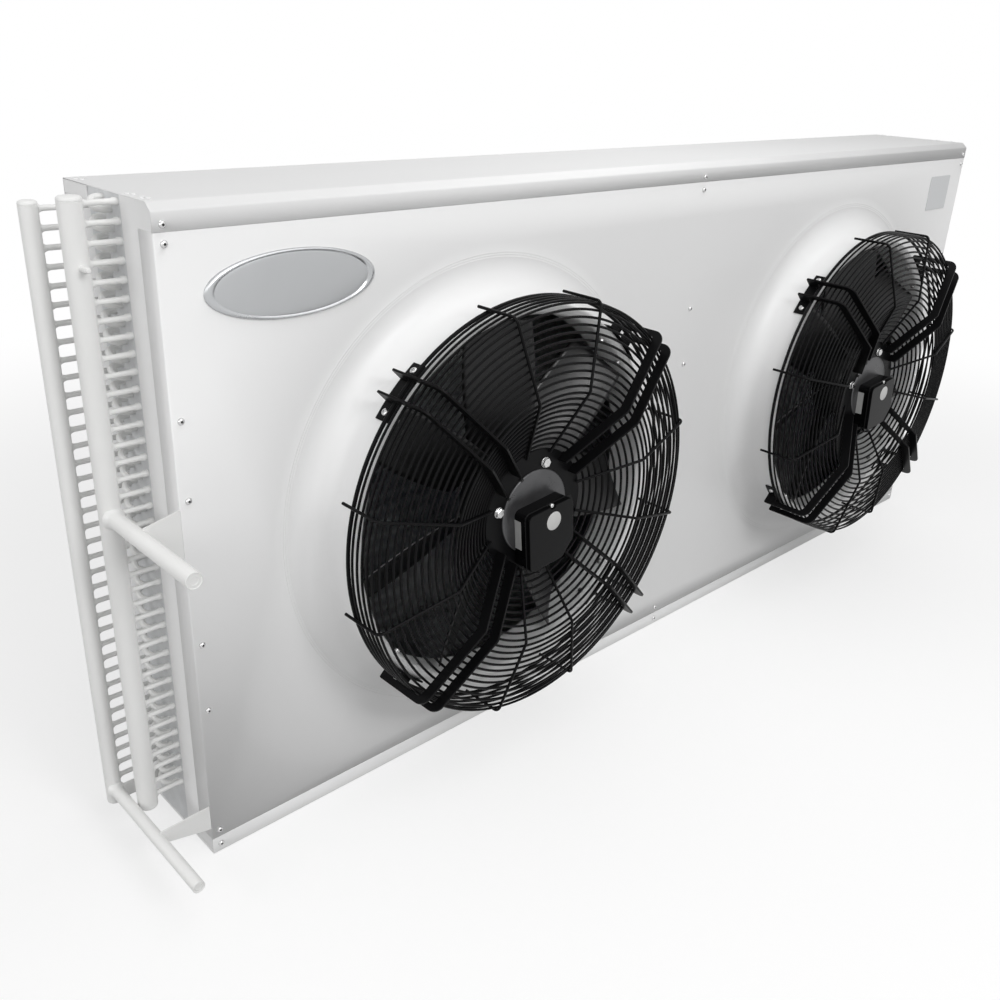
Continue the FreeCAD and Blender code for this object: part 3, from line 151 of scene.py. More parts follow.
def folded(points, bend):
    """A sheet folded along X: its (y, z) corners drawn out over the casing's length, each fold rounded."""
    bm = bmesh.new()
    geom = strip(bm, [Vector((-HALF, y, z)) for y, z in points])
    edges = [item for item in geom if isinstance(item, bmesh.types.BMEdge)]
    made = bmesh.ops.extrude_edge_only(bm, edges=edges)["geom"]
    bmesh.ops.translate(bm, verts=[item for item in made if isinstance(item, bmesh.types.BMVert)],
                        vec=ALONG * 2 * HALF)
    round_folds(bm, bend)
    return bm


def round_folds(bm, bend):
    folds = [edge for edge in bm.edges if edge.is_manifold and abs(edge.calc_face_angle()) > 0.2]
    bmesh.ops.bevel(bm, geom=folds, offset=bend, offset_type="OFFSET", segments=5, profile=0.5,
                    affect="EDGES", material=-1)


def facing(bm, direction):
    """Turns an open sheet so that its largest face looks in a direction."""
    bmesh.ops.recalc_face_normals(bm, faces=bm.faces)
    if max(bm.faces, key=lambda face: face.calc_area()).normal.dot(direction) < 0:
        bmesh.ops.reverse_faces(bm, faces=bm.faces)
    return bm


def copies(part, matrices):
    """A copy of a part at each matrix."""
    bm = bmesh.new()
    mesh = bpy.data.meshes.new("part")
    for matrix in matrices:
        placed = part.copy()
        bmesh.ops.transform(placed, matrix=matrix, verts=placed.verts)
        placed.to_mesh(mesh)
        bm.from_mesh(mesh)
        placed.free()
    part.free()
    bpy.data.meshes.remove(mesh)
    return bm


def joined(parts):
    """Several parts as one."""
    bm = bmesh.new()
    mesh = bpy.data.meshes.new("part")
    for part in parts:
        part.to_mesh(mesh)
        bm.from_mesh(mesh)
        part.free()
    bpy.data.meshes.remove(mesh)
    return bm


def at(place):
    return Matrix.Translation(place)


def round_fan(angles, centre=ORIGIN):
    """Places about a fan's axis, in degrees anticlockwise from the front, from +X."""
    return [at(centre) @ Matrix.Rotation(-math.radians(angle), 4, "Y") for angle in angles]


def piece(name, bm, material, replaces=(), body="casing", sharp=35.0, bevel=0.0, sheet=0.0):
    """Finishes a part: metres, shading, sheet thickness, softened edges, material and body."""
    bmesh.ops.scale(bm, vec=(MM, MM, MM), verts=bm.verts)
    for face in bm.faces:
        face.smooth = True
    for edge in bm.edges:
        edge.smooth = bool(bevel) or not edge.is_manifold or edge.calc_face_angle() < math.radians(sharp)
    mesh = bpy.data.meshes.new(name)
    bm.to_mesh(mesh)
    bm.free()
    mesh.materials.append(material)
    made = bpy.data.objects.new(name, mesh)
    bpy.context.scene.collection.objects.link(made)
    if sheet:
        wall = made.modifiers.new("sheet", "SOLIDIFY")
        wall.thickness = sheet * MM
        wall.offset = -1
    if bevel:
        soften(made, bevel, sharp)
    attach(made, body)
    if replaces:
        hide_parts(*replaces)
    return made


def soften(shown, width, angle=35.0):
    edge = shown.modifiers.new("edge", "BEVEL")
    edge.harden_normals = True
    edge.width = width * MM
    edge.segments = 2
    edge.limit_method = "ANGLE"
    edge.angle_limit = math.radians(angle)


# Materials

def new_material(name):
    material = bpy.data.materials.new(name)
    material.use_nodes = True
    material.node_tree.nodes.clear()
    return material, material.node_tree


def node(tree, kind, **values):
    made = tree.nodes.new(kind)
    for key, value in values.items():
        if key in made.inputs:
            made.inputs[key].default_value = value
        else:
            setattr(made, key, value)
    return made


def surface_group():
    """Shared effect: fine grain and slow patches of tone, each from 0 to 1."""
    tree = bpy.data.node_groups.new("Surface variation", "ShaderNodeTree")
    tree.interface.new_socket("Grain Scale", in_out="INPUT", socket_type="NodeSocketFloat")
    tree.interface.new_socket("Patch Scale", in_out="INPUT", socket_type="NodeSocketFloat")
    tree.interface.new_socket("Grain", in_out="OUTPUT", socket_type="NodeSocketFloat")
    tree.interface.new_socket("Patches", in_out="OUTPUT", socket_type="NodeSocketFloat")
    given = node(tree, "NodeGroupInput")
    result = node(tree, "NodeGroupOutput")
    place = node(tree, "ShaderNodeTexCoord")
    grain = node(tree, "ShaderNodeTexNoise", Detail=3.0, Roughness=0.6)
    patches = node(tree, "ShaderNodeTexNoise", Detail=5.0, Roughness=0.6, Distortion=0.4)
    spread = node(tree, "ShaderNodeMapRange")
    spread.inputs["From Min"].default_value = 0.3
    spread.inputs["From Max"].default_value = 0.7
    tree.links.new(place.outputs["Object"], grain.inputs["Vector"])
    tree.links.new(place.outputs["Object"], patches.inputs["Vector"])
    tree.links.new(given.outputs["Grain Scale"], grain.inputs["Scale"])
    tree.links.new(given.outputs["Patch Scale"], patches.inputs["Scale"])
    tree.links.new(patches.outputs["Fac"], spread.inputs["Value"])
    tree.links.new(grain.outputs["Fac"], result.inputs["Grain"])
    tree.links.new(spread.outputs["Result"], result.inputs["Patches"])
    return tree


SURFACE = surface_group()


def finish(name, colour, rough, metallic=0.0, grain=900.0, relief=0.05, vary=0.05, patch=4.0, coat=0.0,
           specular=0.5, rough_vary=0.08):
    """A painted, plated or moulded finish with fine grain and slow changes of tone and gloss."""
    material, tree = new_material(name)
    out = node(tree, "ShaderNodeOutputMaterial")
    shader = node(tree, "ShaderNodeBsdfPrincipled", Metallic=metallic)
    shader.inputs["Specular IOR Level"].default_value = specular
    shader.inputs["Coat Weight"].default_value = coat
    shader.inputs["Coat Roughness"].default_value = 0.1
    change = node(tree, "ShaderNodeGroup", node_tree=SURFACE)
    change.inputs["Grain Scale"].default_value = grain
    change.inputs["Patch Scale"].default_value = patch
    tone = node(tree, "ShaderNodeMix", data_type="RGBA")
    tone.inputs[6].default_value = (*[value * (1 - vary) for value in colour], 1)
    tone.inputs[7].default_value = (*[min(1.0, value * (1 + vary)) for value in colour], 1)
    shine = node(tree, "ShaderNodeMapRange")
    shine.inputs["To Min"].default_value = max(0.03, rough - rough_vary)
    shine.inputs["To Max"].default_value = min(1.0, rough + rough_vary)
    bump = node(tree, "ShaderNodeBump", Strength=relief, Distance=0.0004)
    tree.links.new(change.outputs["Patches"], tone.inputs["Factor"])
    tree.links.new(change.outputs["Patches"], shine.inputs["Value"])
    tree.links.new(change.outputs["Grain"], bump.inputs["Height"])
    tree.links.new(tone.outputs[2], shader.inputs["Base Color"])
    tree.links.new(shine.outputs["Result"], shader.inputs["Roughness"])
    tree.links.new(bump.outputs["Normal"], shader.inputs["Normal"])
    tree.links.new(shader.outputs["BSDF"], out.inputs["Surface"])
    return material


WHITE = finish("white_powder_coat", (0.82, 0.82, 0.82), 0.38, grain=650.0, relief=0.06, vary=0.006,
               specular=0.4, rough_vary=0.02)
PIPE_WHITE = finish("white_brushed_paint", (0.80, 0.80, 0.79), 0.38, grain=240.0, relief=0.25, vary=0.03)
# Painted shade: the tube sheets' white paint set greyer than the other white, for the shade deep between the
# feeders, with random patches of tone
COIL_END_SHADED = finish("shaded_coil_end_paint", (0.66, 0.67, 0.68), 0.45, grain=260.0, relief=0.2, vary=0.08,
                  patch=30.0)
GALVANISED = finish("galvanised_sheet", (0.55, 0.57, 0.58), 0.42, metallic=0.8, grain=160.0, relief=0.1,
                    vary=0.12, patch=60.0)
ZINC = finish("zinc_plated_steel", (0.60, 0.60, 0.60), 0.25, metallic=1.0, relief=0.08, vary=0.12,
              patch=150.0)
BLACK = finish("black_powder_coat", (0.005, 0.005, 0.0054), 0.34, grain=1400.0, relief=0.10, vary=0.15,
               specular=0.07)
BLADE = finish("black_blade_paint", (0.008, 0.008, 0.0085), 0.33, grain=700.0, relief=0.10, vary=0.12,
               patch=12.0, specular=0.55)
PLASTIC = finish("black_moulded_plastic", (0.004, 0.004, 0.0044), 0.20, grain=500.0, relief=0.04, vary=0.1,
                 specular=0.10)
CASTING = finish("dark_casting", (0.030, 0.030, 0.032), 0.42, metallic=0.3, grain=450.0, relief=0.3, vary=0.2)
COVER = finish("grey_motor_cover", (0.085, 0.085, 0.088), 0.34, metallic=0.6, relief=0.08, vary=0.18,
               patch=25.0)
RIM_METAL = finish("polished_badge_rim", (0.50, 0.51, 0.52), 0.24, metallic=0.85, relief=0.03, vary=0.05)
BADGE_FACE = finish("satin_badge_face", (0.50, 0.51, 0.52), 0.34, metallic=0.35, relief=0.03, vary=0.04)
LABEL = finish("pale_label", (0.60, 0.60, 0.59), 0.45, grain=300.0, relief=0.02, vary=0.05)
FOIL = finish("pale_foil", (0.63, 0.64, 0.65), 0.35, metallic=0.2, grain=300.0, relief=0.02, vary=0.03)
FIN = finish("fin_aluminium", (0.62, 0.63, 0.64), 0.34, metallic=0.9, grain=500.0, relief=0.08, vary=0.08,
             patch=20.0)
STEEL = finish("ground_steel", (0.50, 0.50, 0.51), 0.25, metallic=1.0, relief=0.05, vary=0.08)
# Painted shade: a near-black finish set into the screw heads' hollows and the cover's rim notches, standing
# in for the shade inside them
RECESS_SHADE = finish("painted_recess_shade", (0.02, 0.02, 0.02), 0.6, metallic=0.3, relief=0.05)


# Casing

COLLAR_LAP, COLLAR_FOOT, COLLAR, RIM_REACH = 432.0, 397.5, 349.5, 90.5
THROAT, MOUTH, MOUTH_ROUND = 328.5, 10.0, 12.0


def collar_line():
    """The pressed ring's skin: flat, two shallow beads, cove, wall, rolled rim, throat and mouth."""
    cove = COLLAR_FOOT - COLLAR
    roll = (COLLAR - THROAT) / 2
    beads = [(COLLAR_LAP - 14 - step, 0.6 * math.sin(math.pi * step / 4) ** 2) for step in range(13)]
    line = [(COLLAR_LAP, 0.0)] + beads
    line += arc((COLLAR_FOOT, cove), cove, 270, 180, 18)
    line += arc((COLLAR - roll, RIM_REACH - roll), roll, 0, 180, 14)
    line += arc((THROAT + MOUTH_ROUND, MOUTH + MOUTH_ROUND), MOUTH_ROUND, 180, 268, 8)
    return line


def panel_edge(bm, side, low, high):
    """The return at one end of the front panel, with a rounded fold."""
    corners = [(HALF - 4, FRONT), (HALF, FRONT), (HALF, FRONT + 40)]
    geom = strip(bm, [Vector((side * x, y, low)) for x, y in corners])
    made = bmesh.ops.extrude_edge_only(bm, edges=geom[3:])["geom"]
    bmesh.ops.translate(bm, verts=[item for item in made if isinstance(item, bmesh.types.BMVert)],
                        vec=UP * (high - low))
    bmesh.ops.bevel(bm, geom=[edge for edge in bm.edges if edge.is_manifold and all(
        abs(vert.co.x - side * HALF) < 0.01 and abs(vert.co.y - FRONT) < 0.01 for vert in edge.verts)],
        offset=1.6, offset_type="OFFSET", segments=4, profile=0.5, affect="EDGES", material=-1)


def front_panel():
    low, high = TRAY_TOP + SEAM_GAP, SEAM - SEAM_GAP
    rings = joined([copies(fan_lathe(collar_line(), 192), [at(centre)]) for centre in FANS.values()])
    rims = [edge for edge in rings.edges if edge.is_boundary and all(
        abs(vert.co.y - FRONT) < 0.01 for vert in edge.verts)]
    corners = [(-HALF + 4, low), (HALF - 4, low), (HALF - 4, high), (-HALF + 4, high)]
    frame_edges = strip(rings, [Vector((x, FRONT, z)) for x, z in corners], closed=True)[4:]
    bmesh.ops.triangle_fill(rings, edges=rims + frame_edges, use_beauty=True)
    for side in (-1, 1):
        panel_edge(rings, side, low, high)
    bmesh.ops.remove_doubles(rings, verts=rings.verts, dist=0.01)
    return facing(rings, FORWARD)


def top_cover():
    bevel_y, bevel_z = FRONT + 13.0, HEIGHT - 11.0
    return facing(folded([(REAR, HEIGHT - 25), (REAR, HEIGHT), (bevel_y, HEIGHT), (FRONT, bevel_z),
                          (FRONT, SEAM)], 1.6), UP)


def base_tray():
    return facing(folded([(FRONT, TRAY_TOP), (FRONT, 0.0), (REAR, 0.0), (REAR, TRAY_TOP)], 1.6), -UP)


def cover_flange():
    """The short down-turned flange at each end of the top cover, beside the coil's rear bay."""
    rear_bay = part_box("left_rear_end_panel")[0].y / MM
    corners = [(rear_bay, HEIGHT - 19, 3), (REAR - 1, HEIGHT - 19, 0), (REAR - 1, HEIGHT - 1, 0),
               (rear_bay, HEIGHT - 1, 0)]
    one = slab([(Vector((-HALF, y, z)), radius) for y, z, radius in corners], ALONG * SHEET)
    return copies(one, [Matrix(), Matrix.Scale(-1, 4, ALONG)])


piece("front_panel_sheet", front_panel(), WHITE, ["front_panel"], sheet=SHEET, sharp=60)
piece("top_cover_sheet", top_cover(), WHITE, ["top_cover"], sheet=SHEET)
piece("base_tray_sheet", base_tray(), WHITE, ["base_tray"], sheet=SHEET)
piece("top_cover_end_flanges", tidy(cover_flange()), WHITE)


# Panel screws: pan heads, each with a dark disc of painted shade in its hollow

SCREW_INSET, SCREW_PITCH, SCREW_STEPS = 14.0, 118.0, (1, 2, 4)


def screw_places():
    middle = (SEAM + TRAY_TOP) / 2
    columns = (-HALF + SCREW_INSET, -10.0, HALF - SCREW_INSET)
    rows = [middle + side * step * SCREW_PITCH for step in SCREW_STEPS for side in (-1, 1)]
    return [at((x, FRONT, z)) for x in columns for z in rows + [16.0, SEAM + 9.5]]


def pan_head():
    dome = arc((1.9, 0.4), 3.0, 90, 0, 6)
    return lathe([(0.0, 1.6), (1.5, 1.6), (1.9, 2.9)] + dome + [(5.2, 0.3), (5.2, -0.2), (0.0, -0.2)],
                 ORIGIN, FORWARD, 20)


# Painted shade: a dark disc sitting in the head's hollow
def recess_shade_disc():
    return lathe([(0.0, 1.9), (1.6, 1.9), (1.6, 1.5), (0.0, 1.5)], ORIGIN, FORWARD, 6)


piece("panel_screw_heads", copies(pan_head(), screw_places()), ZINC, ["panel_screws"])
piece("panel_screw_recess_shade", copies(recess_shade_disc(), screw_places()), RECESS_SHADE)


# Badge and nameplate, both left blank

def oval(profile, steps=96):
    """A round badge of (share of radius, height) points, stretched to the oval's size."""
    low, high = [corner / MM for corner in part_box("blank_badge")]
    middle = (low + high) / 2
    bm = lathe(profile, ORIGIN, FORWARD, steps)
    bmesh.ops.scale(bm, vec=((high.x - low.x) / 2, 1, (high.z - low.z) / 2), verts=bm.verts)
    bmesh.ops.translate(bm, vec=(middle.x, high.y, middle.z), verts=bm.verts)
    return bm


def badge_rim():
    return oval([(0.90, 0.0), (1.0, 0.0), (1.0, 1.6), (0.99, 3.2), (0.97, 4.4), (0.95, 4.8), (0.93, 4.5),
                 (0.915, 3.8), (0.90, 3.0), (0.90, 0.0)])


def badge_face():
    dome = [(0.905 * math.sin(math.radians(a)), 2.9 + 1.9 * math.cos(math.radians(a)))
            for a in range(90, -1, -10)]
    return oval([(0.0, 0.2), (0.905, 0.2)] + dome)


def nameplate():
    low, high = [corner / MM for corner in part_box("blank_nameplate")]
    corners = [(low.x, low.z), (high.x, low.z), (high.x, high.z), (low.x, high.z)]
    return slab([(Vector((x, high.y, z)), 4.0) for x, z in corners], FORWARD * 0.8)


piece("badge_rim", badge_rim(), RIM_METAL, ["blank_badge"])
piece("badge_face", badge_face(), BADGE_FACE)
piece("nameplate_foil", nameplate(), FOIL, ["blank_nameplate"], bevel=0.15)


# Coil and headers

CIRCUITS, PITCH, TOP_TUBE_DROP, ROW_PITCH = 38, 25.4, 10.5, 22.0
FIRST_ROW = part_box("coil_tubes")[0].y / MM + 4.76
TUBE_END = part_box("coil_tubes")[1].x / MM
GAS_HEADER, LIQUID_HEADER = "gas_header", "liquid_header"


def tube_place(row, circuit):
    """Rows stand staggered by half a pitch, every second one lower."""
    height = HEIGHT - TOP_TUBE_DROP - circuit * PITCH - (row % 2) * PITCH / 2
    return Vector((0, FIRST_ROW + row * ROW_PITCH, height))


def fin_sheets():
    low, high = [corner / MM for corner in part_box("fin_pack")]
    count = int((high.x - low.x) / 2.12)
    one = bmesh.new()
    bmesh.ops.create_cube(one, size=1.0)
    bmesh.ops.scale(one, vec=(0.18, high.y - low.y, high.z - low.z), verts=one.verts)
    middle = (low + high) / 2
    step = (high.x - low.x) / count
    return copies(one, [at((low.x + step * (index + 0.5), middle.y, middle.z)) for index in range(count)])


def return_bends(row, side):
    """One bend per circuit from a tube of a row to its neighbour in the next row."""
    first, second = tube_place(row, 0), tube_place(row + 1, 0)
    out = ALONG * side
    radius = (second - first).length / 2
    start = first + out * TUBE_END
    reach = out * (radius + 2.0)
    corners = [start, start + reach, second + out * TUBE_END + reach, second + out * TUBE_END]
    one = bent_wire(corners, 4.9, radius * 0.98, 10, 5)
    return copies(one, [at(-UP * PITCH * circuit) for circuit in range(CIRCUITS)])


def header_pipe(name, cap_low, cap_high):
    """A painted pipe with rounded end caps and the fine seam where each cap is brazed on."""
    low, high = [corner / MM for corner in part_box(name)]
    radius = (high.x - low.x) / 2
    place = Vector(((low.x + high.x) / 2, (low.y + high.y) / 2, 0))
    rounding = 4.5
    bottom, top = low.z - cap_low, high.z + cap_high
    profile = [(0.0, bottom)] + arc((radius - rounding, bottom + rounding), rounding, 270, 360, 6)
    profile += [(radius, low.z - 0.4), (radius - 0.5, low.z), (radius, low.z + 0.4)]
    profile += [(radius, high.z - 0.4), (radius - 0.5, high.z), (radius, high.z + 0.4)]
    profile += arc((radius - rounding, top - rounding), rounding, 0, 90, 6) + [(0.0, top)]
    return lathe(profile, place, UP, 40)


def feeder_pipes(header, row):
    """Branch pipes with a fillet of filler at the header and at the coil tube."""
    low, high = [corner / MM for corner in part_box(header)]
    length = -TUBE_END - high.x
    fillet = [(7.2, -1.6), (6.3, 0.0), (5.2, 1.4), (4.4, 3.2), (4.0, 5.6)]
    joint = [(4.0, length - 4.5), (4.2, length - 2.2), (5.0, length - 0.4), (5.4, length + 0.4),
             (5.4, length + 6.0)]
    place = Vector((high.x, FIRST_ROW + row * ROW_PITCH, 0))
    one = lathe([(0.0, -1.6)] + fillet + joint + [(0.0, length + 6.0)], place, ALONG, 14)
    return copies(one, [at(UP * tube_place(row, circuit).z) for circuit in range(CIRCUITS)])


def stub_pipe(name, header):
    """A connection stub with filler at the header and its open end rolled round a closing disc."""
    low, high = [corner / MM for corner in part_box(name)]
    header_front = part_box(header)[0].y / MM
    radius = (high.x - low.x) / 2
    place = Vector(((low.x + high.x) / 2, header_front, (low.z + high.z) / 2))
    length = header_front - low.y
    profile = [(0.0, -4.0), (radius + 4.5, -4.0), (radius + 3.2, -0.5), (radius + 1.5, 2.6), (radius, 6.5)]
    profile += arc((radius - 0.8, length - 0.8), 0.8, 0, 120, 4)
    profile += [(radius - 1.6, length - 1.4), (radius - 2.6, length - 1.6), (radius * 0.62, length - 1.0)]
    profile += [(radius * 0.5, length - 0.9), (radius * 0.44, length - 1.5), (0.0, length - 1.6)]
    return lathe(profile, place, FORWARD, 40)


piece("fin_sheets", fin_sheets(), FIN, ["fin_pack"])
piece("left_bend_pipes", return_bends(1, -1), PIPE_WHITE, ["left_return_bends"])
piece("right_bend_pipes", joined([return_bends(0, 1), return_bends(2, 1)]), PIPE_WHITE,
      ["right_return_bends"])
piece("gas_header_pipe", header_pipe(GAS_HEADER, 6, 6), PIPE_WHITE, ["gas_header"])
piece("liquid_header_pipe", header_pipe(LIQUID_HEADER, 6, 6), PIPE_WHITE, ["liquid_header", "header_caps"])
piece("gas_feeder_pipes", feeder_pipes(GAS_HEADER, 0), PIPE_WHITE, ["gas_feeders"])
piece("liquid_feeder_pipes", feeder_pipes(LIQUID_HEADER, 3), PIPE_WHITE, ["liquid_feeders"])
piece("gas_stub_pipe", stub_pipe("gas_stub", GAS_HEADER), PIPE_WHITE, ["gas_stub"])
piece("liquid_stub_pipe", stub_pipe("liquid_stub", LIQUID_HEADER), PIPE_WHITE, ["liquid_stub", "stub_plugs"])
# Fan guards: wires in millimetres, as (radius, reach) from the fan's axis and the panel

WIRE, RING_WIRE, BASE_WIRE, WELD, BEND = 2.6, 2.2, 3.4, 0.05, 12.0
SPOKE_LINE = [(369.0, 78.0), (369.0, 163.0), (224.0, 187.0), (106.0, 133.65)]
SPOKE_ANGLES = [quarter * 90 + side * 15 for quarter in range(4) for side in (-1, 1)]
ARM_ANGLES = [45 + quarter * 90 for quarter in range(4)]
BASE_REACH, RING_STEP, SMALLEST_RING = 97.0, 12.2, 119.0


def front_point(radius, reach, beside=0.0):
    return Vector((radius, FRONT - reach, beside))


def spoke():
    return bent_wire([front_point(*corner) for corner in SPOKE_LINE], WIRE, BEND, 12, 6)


def inner_line(offset):
    """The spoke line moved towards the impeller."""
    corners = [Vector(corner) for corner in SPOKE_LINE]
    headings = [(after - corner).normalized() for corner, after in zip(corners, corners[1:])]
    inward = [Vector((-heading.y, heading.x)) for heading in headings]
    before, after = inward[:1] + inward, inward + inward[-1:]
    return [corner + (a + b) * offset / (1 + a.dot(b)) for corner, a, b in zip(corners, before, after)]


def off_the_bend(place, corner, before, after):
    """A ring at a bend of the spokes lies against the bent wire, not in the corner."""
    back, ahead = (before - corner).normalized(), (after - corner).normalized()
    half = back.angle(ahead) / 2
    run = BEND / math.tan(half)
    centre = corner + (back + ahead).normalized() * BEND / math.sin(half)
    if (place - corner).dot(back) < run and (place - corner).dot(ahead) < run:
        return centre + (place - centre).normalized() * (BEND - WIRE - WELD - RING_WIRE)
    return place


def ring_places():
    line = inner_line(WIRE + WELD + RING_WIRE)
    corners = [Vector(corner) for corner in SPOKE_LINE]
    along = BASE_REACH + RING_STEP - line[0].y
    places = []
    for start, end in zip(line, line[1:]):
        while along <= (end - start).length:
            place = start + (end - start).normalized() * along
            for index in (1, 2):
                place = off_the_bend(place, corners[index], corners[index - 1], corners[index + 1])
            places.append(place)
            along += RING_STEP
        along -= (end - start).length
    return [place for place in places if place.x > SMALLEST_RING]


def wire_ring(radius, reach, wire):
    bm = bmesh.new()
    section = bmesh.ops.create_circle(bm, segments=10, radius=wire, matrix=at(front_point(radius, reach)))
    bmesh.ops.spin(bm, geom=section["verts"] + list(bm.edges), cent=ORIGIN, axis=FORWARD, angle=2 * math.pi,
                   steps=144, use_merge=True)
    return tidy(bm)


def near(point, beside):
    """How far out a point of the guard's line lies on a plane that passes the axis at a distance."""
    return math.sqrt(point.x ** 2 - beside ** 2)


def guard_arm():
    """A flat plate on edge from the bracket round the guard's corner to the motor plate."""
    inner, outer = inner_line(WIRE - 0.2), inner_line(WIRE - 19.0)
    side = near(inner[0], 18) + 12.0
    rise = (outer[2].y - outer[1].y) / (outer[2].x - outer[1].x)
    heel = BEND - WIRE
    knee = near(inner[2], 22)
    foot_slope = (inner[2].y - inner[3].y) / (knee - near(inner[3], 22))
    rim = inner[2].y - (knee - 112.0) * foot_slope
    outline = [(352.4, 64.0, 0), (side, 64.0, 3), (side, outer[2].y + (side - outer[2].x) * rise, 22),
               (near(outer[2], 22), outer[2].y, heel), (94.0, 150.0, 3), (94.0, 131.05, 0),
               (112.0, 131.05, 0), (112.0, rim, 0), (knee, inner[2].y, heel),
               (near(inner[1], 18), inner[1].y, heel),
               (near(inner[0], 18), 89.0, 0), (352.4, 89.0, 0)]
    corners = [(front_point(radius, reach, -2.0), bend) for radius, reach, bend in outline]
    return copies(slab(corners, UP * 4.0, 8), [at(UP * 20), at(-UP * 20)])


BRACKET_IN, BRACKET_OUT, BRACKET_REACHES, BRACKET_HALF_TURN = 349.7, 352.7, (62.0, 90.0), 52.0 / 351.0


def bracket():
    bm = bmesh.new()
    low, high = BRACKET_REACHES
    face = bm.faces.new([bm.verts.new(front_point(radius, reach)) for radius, reach in (
        (BRACKET_IN, low), (BRACKET_OUT, low), (BRACKET_OUT, high), (BRACKET_IN, high))])
    bmesh.ops.rotate(bm, verts=bm.verts, cent=ORIGIN, matrix=Matrix.Rotation(BRACKET_HALF_TURN, 3, "Y"))
    bmesh.ops.spin(bm, geom=[face, *face.edges, *face.verts], cent=ORIGIN, axis=-FORWARD,
                   angle=-2 * BRACKET_HALF_TURN, steps=16)
    return tidy(bm)


def bracket_bolt():
    """A button head outside the bracket, and on the throat's wall the nut with the end of the bolt."""
    dome = [(2.6 + 3.6 * math.sin(math.radians(a)), 0.6 + 3.1 * math.cos(math.radians(a)))
            for a in range(6, 91, 14)]
    head = lathe([(0.0, 2.0), (2.0, 2.0), (2.4, 3.6)] + dome + [(6.2, 0.0), (0.0, 0.0)],
                 front_point(BRACKET_OUT, 76.0), ALONG, 24)
    nut = lathe([(0.0, 4.8), (2.4, 4.8), (3.0, 4.3), (3.0, 4.0), (5.0, 4.0), (5.5, 3.5), (5.5, 0.0),
                 (0.0, 0.0)],
                front_point(328.3, 76.0), -ALONG, 12)
    return joined([head, nut])


def both_fans(part_at):
    return joined([part_at(centre) for centre in FANS.values()])


piece("guard_bracket_plates", both_fans(lambda centre: copies(bracket(), round_fan(ARM_ANGLES, centre))),
      BLACK, ["guard_brackets"], bevel=0.5)
piece("guard_bracket_bolts", both_fans(lambda centre: copies(bracket_bolt(), round_fan(
    [angle + side * 6.2 for angle in ARM_ANGLES for side in (-1, 1)], centre))), ZINC, ["bracket_bolts"])
piece("guard_base_wires", both_fans(lambda centre: copies(
    wire_ring(SPOKE_LINE[0][0] - WIRE - WELD - BASE_WIRE, BASE_REACH, BASE_WIRE), [at(centre)])), BLACK,
      ["guard_base_rings"])


# Motors

COVER_REACH, COVER_FACE, BOX_REACH, LID_REACH, LID_FACE = 131.0, 134.2, 131.6, 161.4, 170.0
SCREW_ON_LID = (4.4, 54.6)


def hex_bolt():
    """A washer and a hexagon head with a chamfered top."""
    place = front_point(87.0, 131.0)
    washer = lathe([(0.0, 0.0), (9.3, 0.0), (9.5, 0.3), (9.5, 1.2), (9.2, 1.5), (0.0, 1.5)],
                   place, FORWARD, 28)
    head = lathe([(0.0, 1.4), (8.4, 1.4), (8.66, 1.9), (8.66, 6.0), (7.4, 6.8), (0.0, 6.8)],
                 place, FORWARD, 6)
    return joined([washer, head])


def cover_disc():
    crown = arc((73.2, COVER_FACE - 3.2), 2.8, 0, 80, 6)
    return fan_lathe([(0.0, COVER_REACH - 2), (76.0, COVER_REACH - 2)] + crown +
                     [(60.0, COVER_FACE - 0.2), (0.0, COVER_FACE)])


# Painted shade: a dark block in the cover's rim where a notch is, standing in for the shade in the slot
def notch_shade_block():
    bm = bmesh.new()
    bmesh.ops.create_cube(bm, size=1.0)
    bmesh.ops.scale(bm, vec=(4.0, 5.0, 5.6), verts=bm.verts)
    bmesh.ops.translate(bm, vec=front_point(74.8, COVER_FACE - 1.8), verts=bm.verts)
    return bm


def box_place(centre):
    """The terminal box hangs a little below the fan's axis, slightly turned."""
    return at(centre + Vector((8.0, FRONT, -35.0))) @ Matrix.Rotation(math.radians(-6.0), 4, "Y")


def box_corners(half, reach, corner=11.0):
    """The box's outline, a little higher than wide, with its lower right corner cut off."""
    high = half + 1.5
    cut = half - 24.0
    points = [(-half, high), (half, high), (half, cut - high), (half - cut, -high), (-half, -high)]
    return [(Vector((x, -reach, z)), corner) for x, z in points]


def terminal_box():
    return slab(box_corners(53.0, BOX_REACH), FORWARD * (LID_REACH - BOX_REACH))


def terminal_lid():
    """A flange and a raised face, notched at the top for the lid's screw."""
    rim = slab(box_corners(57.0, LID_REACH), FORWARD * 2.2)
    corners = box_corners(53.2, LID_REACH + 1.0)
    x, z = SCREW_ON_LID
    top = corners[0][0].z
    notch = [(x - 5.5, top), (x - 5.5, z - 4.5), (x + 5.5, z - 4.5), (x + 5.5, top)]
    corners[1:1] = [(Vector((across, corners[0][0].y, up)), 2.0) for across, up in notch]
    return joined([rim, slab(corners, FORWARD * (LID_FACE - LID_REACH - 1.0))])


def lid_screw():
    x, z = SCREW_ON_LID
    dome = arc((2.6, 3.0), 1.4, 90, 0, 5)
    return lathe([(0.0, 3.2), (1.0, 3.2), (1.2, 4.4)] + dome + [(4.0, 0.0), (0.0, 0.0)],
                 Vector((x, -LID_REACH - 2.0, z)), FORWARD, 24)


def lid_disc():
    return lathe([(0.0, 0.0), (16.6, 0.0), (17.0, 0.2), (16.6, 0.4), (0.0, 0.4)],
                 Vector((4.8, -LID_FACE, 26.6)), FORWARD, 48)


def side_label():
    corners = [(-16, 133), (39, 133), (39, 149), (-16, 149)]
    return slab([(Vector((-53.0, -reach, z)), 1.0) for z, reach in corners], -ALONG * 0.3, 3)


# Impeller: blades twisted and cambered from a flat grid

